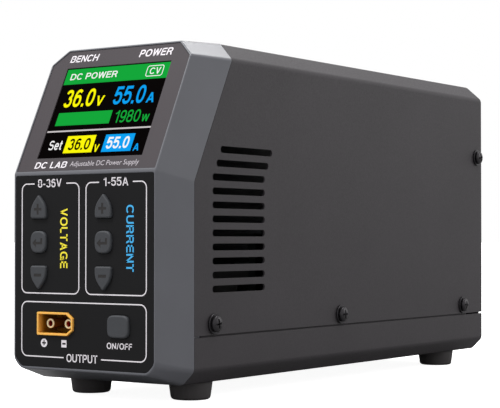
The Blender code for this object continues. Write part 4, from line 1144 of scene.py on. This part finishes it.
def mains_inlet():
    """Moulded inlet with a soft flange, a deep mouth and three flat pins."""
    holes = []
    for wire, (across, up) in INLET_PINS.items():
        centre = (INLET_AT[0] + across, INLET_AT[1] + up)
        holes.append(rectangle(PIN_SIZE[0] + 0.0002, PIN_SIZE[1] + 0.0002, centre))
        ends = (MOULDING_FRONT - 0.006, FLANGE_SEAT + FLANGE - 0.002)
        bar = extruded(rectangle(*PIN_SIZE, centre), "Y", *ends)
        pin = carved(bar, bevel=0.0004, segments=3)
        piece(f"{wire}_blade", pin, PIN_METAL, stands_for=[f"{wire}_pin"])
    mouth = (rounded(rectangle(*INLET_MOUTH, INLET_AT), 0.003), FLANGE_SEAT + FLANGE - 0.018)
    body, cuts = flanged(INLET_BODY, INLET_FLANGE, INLET_AT, 0.0015, mouth, holes)
    shell = carved(body, cuts, bevel=0.0003, segments=3, angle=50)
    piece("inlet_shell", shell, MOULDED_BLACK, stands_for=["mains_inlet"])


def power_switch():
    """Flanged switch body and a hollow-faced rocker with its two signs."""
    well = (rectangle(ROCKER_SIZE[0] + 0.0008, ROCKER_SIZE[1] + 0.0014, SWITCH_AT), ROCKER_PIVOT - 0.0062)
    body, cuts = flanged(SWITCH_BODY, SWITCH_FLANGE, SWITCH_AT, 0.001, well)
    shell = carved(body, cuts, bevel=0.0004, segments=3, angle=50)
    piece("switch_shell", shell, MOULDED_BLACK, stands_for=["power_switch_body"])

    width, height = ROCKER_SIZE
    keel, waist, tip = -0.0030, 0.0008, 0.0024
    shares = [i / 12 - 1 for i in range(25)]
    face = [(waist + (tip - waist) * abs(share) ** 1.6, share * height / 2) for share in shares]
    side = [(keel, -height / 3)] + face + [(keel, height / 3)]
    mesh = carved(extruded(side, "X", -width / 2, width / 2), bevel=0.0005, segments=3)
    at = on_face(SWITCH_AT[0], ROCKER_PIVOT, SWITCH_AT[1]) @ Matrix.Rotation(-ROCKER_SWING / 2, 4, "X")
    piece("rocker", mesh, ROCKER_BLACK, at, "power_rocker", ["power_rocker"])
    off = [circle(radius, 40, (0, -ROCKER_SIGN)) for radius in (0.0024, 0.0016)]
    signs = {
        "rocker_on_sign": extruded(rectangle(0.0009, 0.0050, (0, ROCKER_SIGN)), "Y", 0.0010, 0.00165),
        "rocker_off_sign": carved(extruded(off[0], "Y", 0.0010, 0.00165), [extruded(off[1], "Y", 0, 0.003)]),
    }
    for name, sign in signs.items():
        piece(name, sign, WHITE_INK, at, "power_rocker")


# ---------------------------------------------------------------- printing

INK = 0.00003  # how far a print stands off the plate
LINE = 0.00054
BOWL_SQUARENESS = 2.35
LETTER_GAP = 0.13


def band(points, width):
    """The outline of a line of even width along open points, with mitred corners and square ends."""
    left, right = [], []
    for i, here in enumerate(points):
        before = Vector(points[max(i - 1, 0)])
        after = Vector(points[min(i + 1, len(points) - 1)])
        arriving = (Vector(here) - before).normalized() if i else (after - Vector(here)).normalized()
        leaving = (after - Vector(here)).normalized() if i < len(points) - 1 else arriving
        along = (arriving + leaving).normalized()
        reach = width / 2 / max(along.dot(arriving), 0.4)
        left.append((here[0] - along.y * reach, here[1] + along.x * reach))
        right.append((here[0] + along.y * reach, here[1] - along.x * reach))
    return right + left[::-1]


def stroke(points, width):
    """A flat line of even width along points (x, z), as a thin solid just proud of y = 0."""
    return extruded(band(points, width), "Y", -INK, INK)


def bowl(centre, across, low, high, start, end, steps=22):
    """Points along a slightly square round stroke, between the heights low and high."""
    points = []
    for i in range(steps + 1):
        x, z = superellipse(radians(start + (end - start) * i / steps), BOWL_SQUARENESS)
        points.append((centre + across * x, (low + high) / 2 + (high - low) / 2 * z))
    return points


def slab(x_low, low, x_high, high, thick):
    """A straight stroke with level ends."""
    wide = thick / 2 * sqrt(1 + ((x_high - x_low) / (high - low)) ** 2)
    return [(x_low - wide, low), (x_low + wide, low), (x_high + wide, high), (x_high - wide, high)]


def glyph(letter, thick):
    """The width and stroke outlines of one upright sans-serif character of height 1."""
    half = thick / 2
    top, foot, waist = 1 - half, half, 0.52

    def ring(width, low, high):
        return band(bowl(width / 2, width / 2 - half, low, high, 90, 450, 44), thick)

    def stem(x, low=0, high=1):
        return slab(x, low, x, high, thick)

    def bar(left, right, height):
        return [(left, height - half), (right, height - half), (right, height + half), (left, height + half)]

    def lobe(turn_x, width, low, high):
        bend = bowl(turn_x, width - half - turn_x, low, high, 90, -90)
        return band([(half, high)] + bend + [(half, low)], thick)

    if letter in "69":
        shapes = [ring(0.64, foot, 0.60), band(bowl(0.34, 0.34 - half, foot, top, 200, 48), thick)]
        if letter == "9":
            shapes = [[(0.64 - x, 1 - z) for x, z in shape] for shape in shapes]
        return 0.64, shapes
    shapes = {
        " ": (0.26, []),
        "-": (0.36, [bar(0.02, 0.34, 0.37)]),
        ".": (thick * 1.1, [slab(thick * 0.55, 0, thick * 0.55, thick * 1.05, thick * 1.1)]),
        "/": (0.40, [slab(half * 0.8, 0, 0.40 - half * 0.8, 1, thick * 0.8)]),
        "0": (0.66, [ring(0.66, foot, top)]),
        "1": (0.44, [
            stem(0.40 - half),
            band([(0, 0.75), (0.1, 0.76), (0.2, 0.81), (0.27, 0.9), (0.3, 1)], half * 1.5),
        ]),
        "3": (0.64, [
            band(bowl(0.31, 0.29 - half, waist, top, 168, -90), thick),
            band(bowl(0.32, 0.32 - half, foot, waist, 90, -168), thick),
        ]),
        "5": (0.64, [
            band([(0.6, top), (0.13, top), (0.065, 0.47)], thick),
            band(bowl(0.31, 0.33 - half, foot, 0.62, 148, -168), thick),
        ]),
        "8": (0.65, [ring(0.61, waist, top), ring(0.65, foot, waist)]),
        "A": (0.80, [
            slab(half * 1.05, 0, 0.40, 1, thick),
            slab(0.80 - half * 1.05, 0, 0.40, 1, thick),
            bar(0.2, 0.6, 0.31),
        ]),
        "B": (0.74, [stem(half), lobe(0.42, 0.71, waist, top), lobe(0.42, 0.74, foot, waist)]),
        "C": (0.82, [band(bowl(0.42, 0.42 - half, foot, top, 38, 322, 32), thick)]),
        "D": (0.80, [stem(half), lobe(0.34, 0.80, foot, top)]),
        "E": (0.68, [stem(half), bar(0, 0.67, top), bar(0, 0.63, waist), bar(0, 0.68, foot)]),
        "F": (0.62, [stem(half), bar(0, 0.62, top), bar(0, 0.56, 0.5)]),
        "G": (0.86, [
            band(bowl(0.43, 0.43 - half, foot, top, 38, 335, 32), thick),
            bar(0.46, 0.84, 0.43),
            stem(0.84 - half * 0.9, 0, 0.46),
        ]),
        "H": (0.78, [stem(half), stem(0.78 - half), bar(0, 0.78, waist)]),
        "L": (0.58, [stem(half), bar(0, 0.58, foot)]),
        "N": (0.78, [stem(half), stem(0.78 - half), slab(0.78 - half * 1.1, 0, half * 1.1, 1, thick)]),
        "O": (0.86, [ring(0.86, foot, top)]),
        "P": (0.70, [stem(half), lobe(0.40, 0.70, 0.45, top)]),
        "R": (0.76, [stem(half), lobe(0.42, 0.73, 0.48, top), slab(0.76 - half, 0, 0.5, 0.5, thick)]),
        "S": (0.72, [
            band(bowl(0.36, 0.34 - half, waist, top, 22, 270), thick),
            band(bowl(0.36, 0.36 - half, foot, waist, 90, -158), thick),
        ]),
        "T": (0.70, [stem(0.35), bar(0, 0.70, top)]),
        "U": (0.76, [
            band([(half, 1)] + bowl(0.38, 0.38 - half, foot, 0.66, 180, 360) + [(0.76 - half, 1)], thick),
        ]),
        "V": (0.76, [slab(0.38, 0, half * 1.05, 1, thick), slab(0.38, 0, 0.76 - half * 1.05, 1, thick)]),
        "W": (1.08, [
            slab(0.28, 0, half * 1.05, 1, thick),
            slab(0.28, 0, 0.54, 1, thick),
            slab(0.80, 0, 0.54, 1, thick),
            slab(0.80, 0, 1.08 - half * 1.05, 1, thick),
        ]),
        "e": (0.60, [
            band(bowl(0.30, 0.30 - half, foot, 0.74 - half, 0, 322, 32), thick),
            bar(0.06, 0.58, 0.38),
        ]),
        "t": (0.34, [stem(0.14, foot, 0.95), bar(0, 0.33, 0.74 - half), bar(0.14, 0.33, foot)]),
    }
    return shapes[letter]


def sign_writing(text, left, right, low, high, thick=0.14, turn=0, slant=0.0):
    """Words drawn with even strokes and fitted to a box. Turned words read downwards."""
    shapes, reach = [], 0.0
    for letter in text:
        width, outlines = glyph(letter, thick)
        shapes += [[(x + reach, z) for x, z in outline] for outline in outlines]
        reach += width + LETTER_GAP
    reach -= LETTER_GAP
    wide, tall = (high - low, right - left) if turn else (right - left, high - low)
    meshes = []
    for shape in shapes:
        fitted = [(x * wide / reach + z * tall * slant, z * tall) for x, z in shape]
        placed = [(left + z, high - x) if turn else (left + x, low + z) for x, z in fitted]
        meshes.append(extruded(placed, "Y", -INK, INK))
    return joined(meshes)


def gapped_frame(low, high, radius, gap, side):
    """A rounded frame line with a gap in its top or bottom edge for a label."""
    corners = [(high[0], low[1]), high, (low[0], high[1]), low]
    edge = high[1] if side == "top" else low[1]
    path = rounded(corners, radius, step=6)
    for i, (x, z) in enumerate(path):
        next_x, next_z = path[(i + 1) % len(path)]
        if abs(z - edge) < 1e-6 and abs(next_z - edge) < 1e-6 and abs(next_x - x) > 0.01:
            break
    ends = gap if side == "top" else gap[::-1]
    return stroke([(ends[0], edge)] + path[i + 1 :] + path[: i + 1] + [(ends[1], edge)], LINE)


def lettering(text, left, right, low, high):
    """A small caption fitted to a box on the face, as a thin solid."""
    curve = bpy.data.curves.new("caption", "FONT")
    curve.body = text
    curve.size = 1.0
    curve.extrude = 0.5
    curve.resolution_u = 3
    work = bpy.data.objects.new("caption", curve)
    bpy.context.scene.collection.objects.link(work)
    graph = bpy.context.evaluated_depsgraph_get()
    mesh = bpy.data.meshes.new_from_object(work.evaluated_get(graph))
    bpy.data.objects.remove(work)
    xs = [v.co.x for v in mesh.vertices]
    top = max(v.co.y for v in mesh.vertices)
    size = ((right - left) / (max(xs) - min(xs)), (high - low) / top, 2 * INK, 1)
    upright = Matrix.Rotation(pi / 2, 4, "X") @ Matrix.Translation((left, low, 0))
    mesh.transform(upright @ Matrix.Diagonal(size) @ Matrix.Translation((-min(xs), 0, 0)))
    work = bmesh.new()
    work.from_mesh(mesh)
    bmesh.ops.remove_doubles(work, verts=work.verts, dist=MERGE)
    work.to_mesh(mesh)
    work.free()
    return mesh


def flat(name, mesh, surface_used, matrix=AT_FACE):
    """A printed or lit shape: sharp-edged, with no smoothing."""
    made = piece(name, mesh, surface_used, matrix)
    made.modifiers.clear()
    mesh.shade_flat()


def pierced(outline, hole):
    """A printed shape with a hole in it."""
    return carved(extruded(outline, "Y", -INK, INK), [extruded(hole, "Y", -0.001, 0.001)])


def panel_print():
    """The frames, labels and pole signs of the control panel."""
    inner, outer = 0.0021, 0.03755
    middle, label = 0.0198, 0.0099  # where a column's label sits in its frame, and half its gap
    for name, sign in SIGNS.items():
        left, right = sorted((sign * inner, sign * outer))
        gap = (sign * middle - label, sign * middle + label)
        line = gapped_frame((left, 0.04995), (right, 0.10135), 0.0030, gap, "top")
        flat(f"frame_line_{name}", line, WHITE_INK)
    line = gapped_frame((-outer, 0.02025), (outer, 0.04585), 0.0034, (-0.0113, 0.0113), "bottom")
    flat("frame_line_output", line, WHITE_INK)

    # name, words, left, right, low, high, stroke, turned, colour
    words = [
        ("label_voltage_range", "8-36V", -0.0275, -0.0129, 0.0996, 0.1035, 0.145, 0, "white"),
        ("label_current_range", "1-55A", 0.0126, 0.0271, 0.0996, 0.1035, 0.145, 0, "white"),
        ("label_output", "OUTPUT", -0.0095, 0.0091, 0.0184, 0.0221, 0.15, 0, "white"),
        ("label_on_off", "ON/OFF", 0.0147, 0.0294, 0.0254, 0.0282, 0.16, 0, "white"),
        ("label_voltage", "VOLTAGE", -0.0136, -0.0091, 0.0618, 0.0896, 0.165, 1, "yellow"),
        ("label_current", "CURRENT", 0.0260, 0.0303, 0.0606, 0.0908, 0.165, 1, "blue"),
    ]
    inks = {"white": WHITE_INK, "yellow": YELLOW_INK, "blue": BLUE_INK}
    for name, *fitted, colour in words:
        flat(name, sign_writing(*fitted), inks[colour])

    at = (-0.02345, 0.0267)
    plus = plus_outline(0.0024, 0.0024, 0.00075, at)
    flat("pole_sign_positive", pierced(circle(0.0020, 40, at), plus), WHITE_INK)
    at = (-0.0111, 0.0267)
    minus = rectangle(0.0021, 0.00085, at)
    flat("pole_sign_negative", pierced(rectangle(0.0031, 0.0034, at), minus), WHITE_INK)


def fascia_print():
    """Generic wording above and below the screen."""
    raised = ON_SLOPE @ Matrix.Translation((0, FASCIA_SUNK, 0))
    words = [
        ("wording_top_left", "BENCH", -0.0317, -0.0144, 0.0614, 0.0652, 0.165, 0.12),
        ("wording_top_right", "POWER", 0.0112, 0.0306, 0.0614, 0.0654, 0.165, 0.12),
        ("wording_low_left", "DC LAB", -0.0315, -0.0119, 0.0028, 0.0062, 0.165, 0.12),
    ]
    for name, text, left, right, low, high, thick, slant in words:
        mesh = sign_writing(text, left, right, low, high, thick, slant=slant)
        flat(name, mesh, WHITE_INK, matrix=raised)
    caption = lettering("Adjustable DC Power Supply", -0.0096, 0.0313, 0.0035, 0.0061)
    flat("wording_low_right", caption, GREY_INK, matrix=raised)


def screen_content():
    """What the screen shows: header, measured values, power bar, a line and the set values."""
    at = ON_SLOPE @ Matrix.Translation((0, SCREEN_SUNK, 0))
    above = ON_SLOPE @ Matrix.Translation((0, SCREEN_SUNK - 0.00004, 0))

    def area(name, low, high, colour, matrix=at):
        outline = [low, (high[0], low[1]), high, (low[0], high[1])]
        flat(name, extruded(outline, "Y", -INK, INK), colour, matrix)

    def words(name, text, left, right, low, high, colour, thick=0.2, matrix=at):
        flat(name, sign_writing(text, left, right, low, high, thick), colour, matrix)

    edge = SCREEN_HALF - 0.0003
    area("screen_header", (-edge, 0.0491), (edge, SCREEN_TOP - 0.0004), LIT_GREEN)
    words("screen_title", "DC POWER", -0.0283, 0.0008, 0.0516, 0.0551, LIT_WHITE, 0.155, above)
    words("screen_mode", "CV", 0.0204, 0.0267, 0.0517, 0.0552, LIT_WHITE, 0.15, above)
    box = rounded(rectangle(0.0100, 0.0060, (0.0233, 0.05345)), 0.0013)
    flat("screen_mode_frame", pierced(box, inset(box, 0.0004)), LIT_WHITE, above)

    words("screen_volts", "36.0", -0.0272, -0.0087, 0.0362, 0.0460, LIT_YELLOW, 0.165)
    words("screen_volts_unit", "V", -0.0070, -0.0024, 0.0362, 0.0417, LIT_YELLOW, 0.17)
    words("screen_amps", "55.0", 0.0036, 0.0219, 0.0362, 0.0460, LIT_BLUE, 0.16)
    words("screen_amps_unit", "A", 0.0236, 0.0282, 0.0362, 0.0416, LIT_BLUE, 0.17)
    area("screen_power_bar", (-0.0280, 0.0261), (0.0053, 0.0332), LIT_GREEN)
    words("screen_watts", "1980", 0.0080, 0.0230, 0.0262, 0.0328, LIT_GREEN, 0.135)
    words("screen_watts_unit", "W", 0.0243, 0.0285, 0.0262, 0.0300, LIT_GREEN, 0.17)
    area("screen_rule", (-edge, 0.0226), (edge, 0.0234), LIT_GREY)
    words("screen_set", "Set", -0.0274, -0.0192, 0.0129, 0.0180, LIT_WHITE, 0.15)
    area("screen_set_volts_field", (-0.0172, 0.0109), (0.0003, 0.0201), LIT_YELLOW)
    words("screen_set_volts", "36.0", -0.0150, -0.0019, 0.0124, 0.0186, UNLIT, 0.17, above)
    words("screen_set_volts_unit", "V", 0.0012, 0.0042, 0.0110, 0.0150, LIT_YELLOW, 0.17)
    area("screen_set_amps_field", (0.0062, 0.0108), (0.0236, 0.0200), LIT_BLUE)
    words("screen_set_amps", "55.0", 0.0083, 0.0214, 0.0124, 0.0186, LIT_WHITE, 0.17, above)
    words("screen_set_amps_unit", "A", 0.0249, 0.0282, 0.0108, 0.0146, LIT_BLUE, 0.17)


# ---------------------------------------------------------------- inside

def inside():
    """Procedural materials and softened edges for the carried-over nodes."""
    surfaces = {
        "display_module": MODULE_METAL,
        "control_board": PCB,
        "main_board": PCB,
        # the heatsinks take the darkened metal, painted shade for the inside seen through the slots
        "primary_heatsink": ALUMINIUM_PAINTED_SHADE,
        "secondary_heatsink": ALUMINIUM_PAINTED_SHADE,
        "bulk_capacitor_1": SLEEVE,
        "bulk_capacitor_2": SLEEVE,
        "main_transformer": FERRITE,
        "mains_filter_choke": FERRITE,
        "pfc_choke": COPPER,
        "output_choke": COPPER,
        "output_terminal_block": MOULDED_BLACK,
        "positive_lead": RED_WIRE,
        "negative_lead": BLACK_WIRE,
    }
    for name, surface_used in surfaces.items():
        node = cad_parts[name]
        node.data.materials.clear()
        node.data.materials.append(surface_used)
        if name.startswith("main") or name.endswith(("heatsink", "block", "module")):
            edges = node.modifiers.new("edges", "BEVEL")
            edges.width = 0.0002
            edges.segments = 2
            edges.limit_method = "ANGLE"


# ---------------------------------------------------------------- studio

FLOOR_WHITE = 0.93
FLOOR_BOUNCE = 0.25
WORLD_FILL = 0.9
CAMERA_LENS = 111.93
CAMERA_AT = (0.4704, FACE_Y - 0.5470, 0.0756)
CAMERA_YAW = 0.6029
CAMERA_PITCH = 0.0222
LIGHTS = [
    ("top_light", (0.0, 0.7, 1.35), 0.5, 6),
    ("top_right_light", (0.75, 0.35, 1.4), 0.4, 4),
    ("upper_left_light", (-0.45, -0.8, 1.6), 0.5, 24),
    ("right_rear_light", (0.75, 0.95, 0.4), 0.5, 1.4),
]


def shader_node(tree, kind, **inputs):
    """A new node with its inputs set by name."""
    node = tree.nodes.new(kind)
    for socket, value in inputs.items():
        node.inputs[socket].default_value = value
    return node


def split_by_camera(tree, output_kind, unseen, seen):
    """Shows one shader to the camera, and the other to light that bounces."""
    path = shader_node(tree, "ShaderNodeLightPath")
    mix = shader_node(tree, "ShaderNodeMixShader")
    output = shader_node(tree, output_kind)
    tree.links.new(path.outputs["Is Camera Ray"], mix.inputs["Fac"])
    tree.links.new(unseen.outputs[0], mix.inputs[1])
    tree.links.new(seen.outputs[0], mix.inputs[2])
    tree.links.new(mix.outputs[0], output.inputs["Surface"])


def seamless_white():
    """A floor that reads as white paper and throws little light back up."""
    material = bpy.data.materials.new("floor_white")
    material.use_nodes = True
    tree = material.node_tree
    tree.nodes.clear()
    paper = shader_node(tree, "ShaderNodeBsdfDiffuse", Color=(0.8, 0.8, 0.8, 1))
    glow = shader_node(tree, "ShaderNodeEmission", Strength=FLOOR_WHITE)
    both = shader_node(tree, "ShaderNodeAddShader")
    tree.links.new(paper.outputs[0], both.inputs[0])
    tree.links.new(glow.outputs[0], both.inputs[1])
    dim = shader_node(tree, "ShaderNodeBsdfDiffuse", Color=(FLOOR_BOUNCE, FLOOR_BOUNCE, FLOOR_BOUNCE, 1))
    split_by_camera(tree, "ShaderNodeOutputMaterial", dim, both)
    return material


def studio():
    """Pale floor, white surroundings, soft lights and the camera."""
    bpy.ops.mesh.primitive_circle_add(vertices=128, radius=30, fill_type="NGON", location=(0, 0, 0))
    floor = bpy.context.object
    floor.name = "floor"
    floor.data.materials.append(seamless_white())

    world = bpy.data.worlds.new("studio")
    bpy.context.scene.world = world
    world.use_nodes = True
    tree = world.node_tree
    tree.nodes.clear()
    fill = shader_node(tree, "ShaderNodeBackground", Color=(1, 1, 1, 1), Strength=WORLD_FILL)
    backdrop = shader_node(tree, "ShaderNodeBackground", Color=(1, 1, 1, 1), Strength=1.0)
    split_by_camera(tree, "ShaderNodeOutputWorld", fill, backdrop)

    for name, place, size, power in LIGHTS:
        soft_light(name, place, size, power)

    camera = bpy.data.cameras.new("camera")
    camera.sensor_fit = "HORIZONTAL"
    camera.sensor_width = 36
    camera.lens = CAMERA_LENS
    camera.clip_start = 0.01
    eye = bpy.data.objects.new("camera", camera)
    bpy.context.scene.collection.objects.link(eye)
    eye.location = CAMERA_AT
    eye.rotation_euler = (pi / 2 + CAMERA_PITCH, 0, CAMERA_YAW)
    bpy.context.scene.camera = eye
    bpy.context.scene.view_settings.view_transform = "Standard"


def soft_light(name, place, size, power):
    """A round soft box aimed at the middle of the case."""
    light = bpy.data.lights.new(name, "AREA")
    light.shape = "DISK"
    light.size = size
    light.energy = power
    lamp = bpy.data.objects.new(name, light)
    bpy.context.scene.collection.objects.link(lamp)
    lamp.location = place
    lamp.rotation_euler = (Vector((0, 0, 0.1)) - Vector(place)).to_track_quat("-Z", "Y").to_euler()


studio()
cover_skin()
chassis_tray()
back_plate()
bezel_shell()
panel_plate()
fascia_plate()
screen_window()
key_caps()
socket_shell()
contact_tubes()
side_screws()
feet()
fan_housing()
fan_blades()
wire_guard()
fan_screws()
mains_inlet()
power_switch()
panel_print()
fascia_print()
screen_content()
inside()
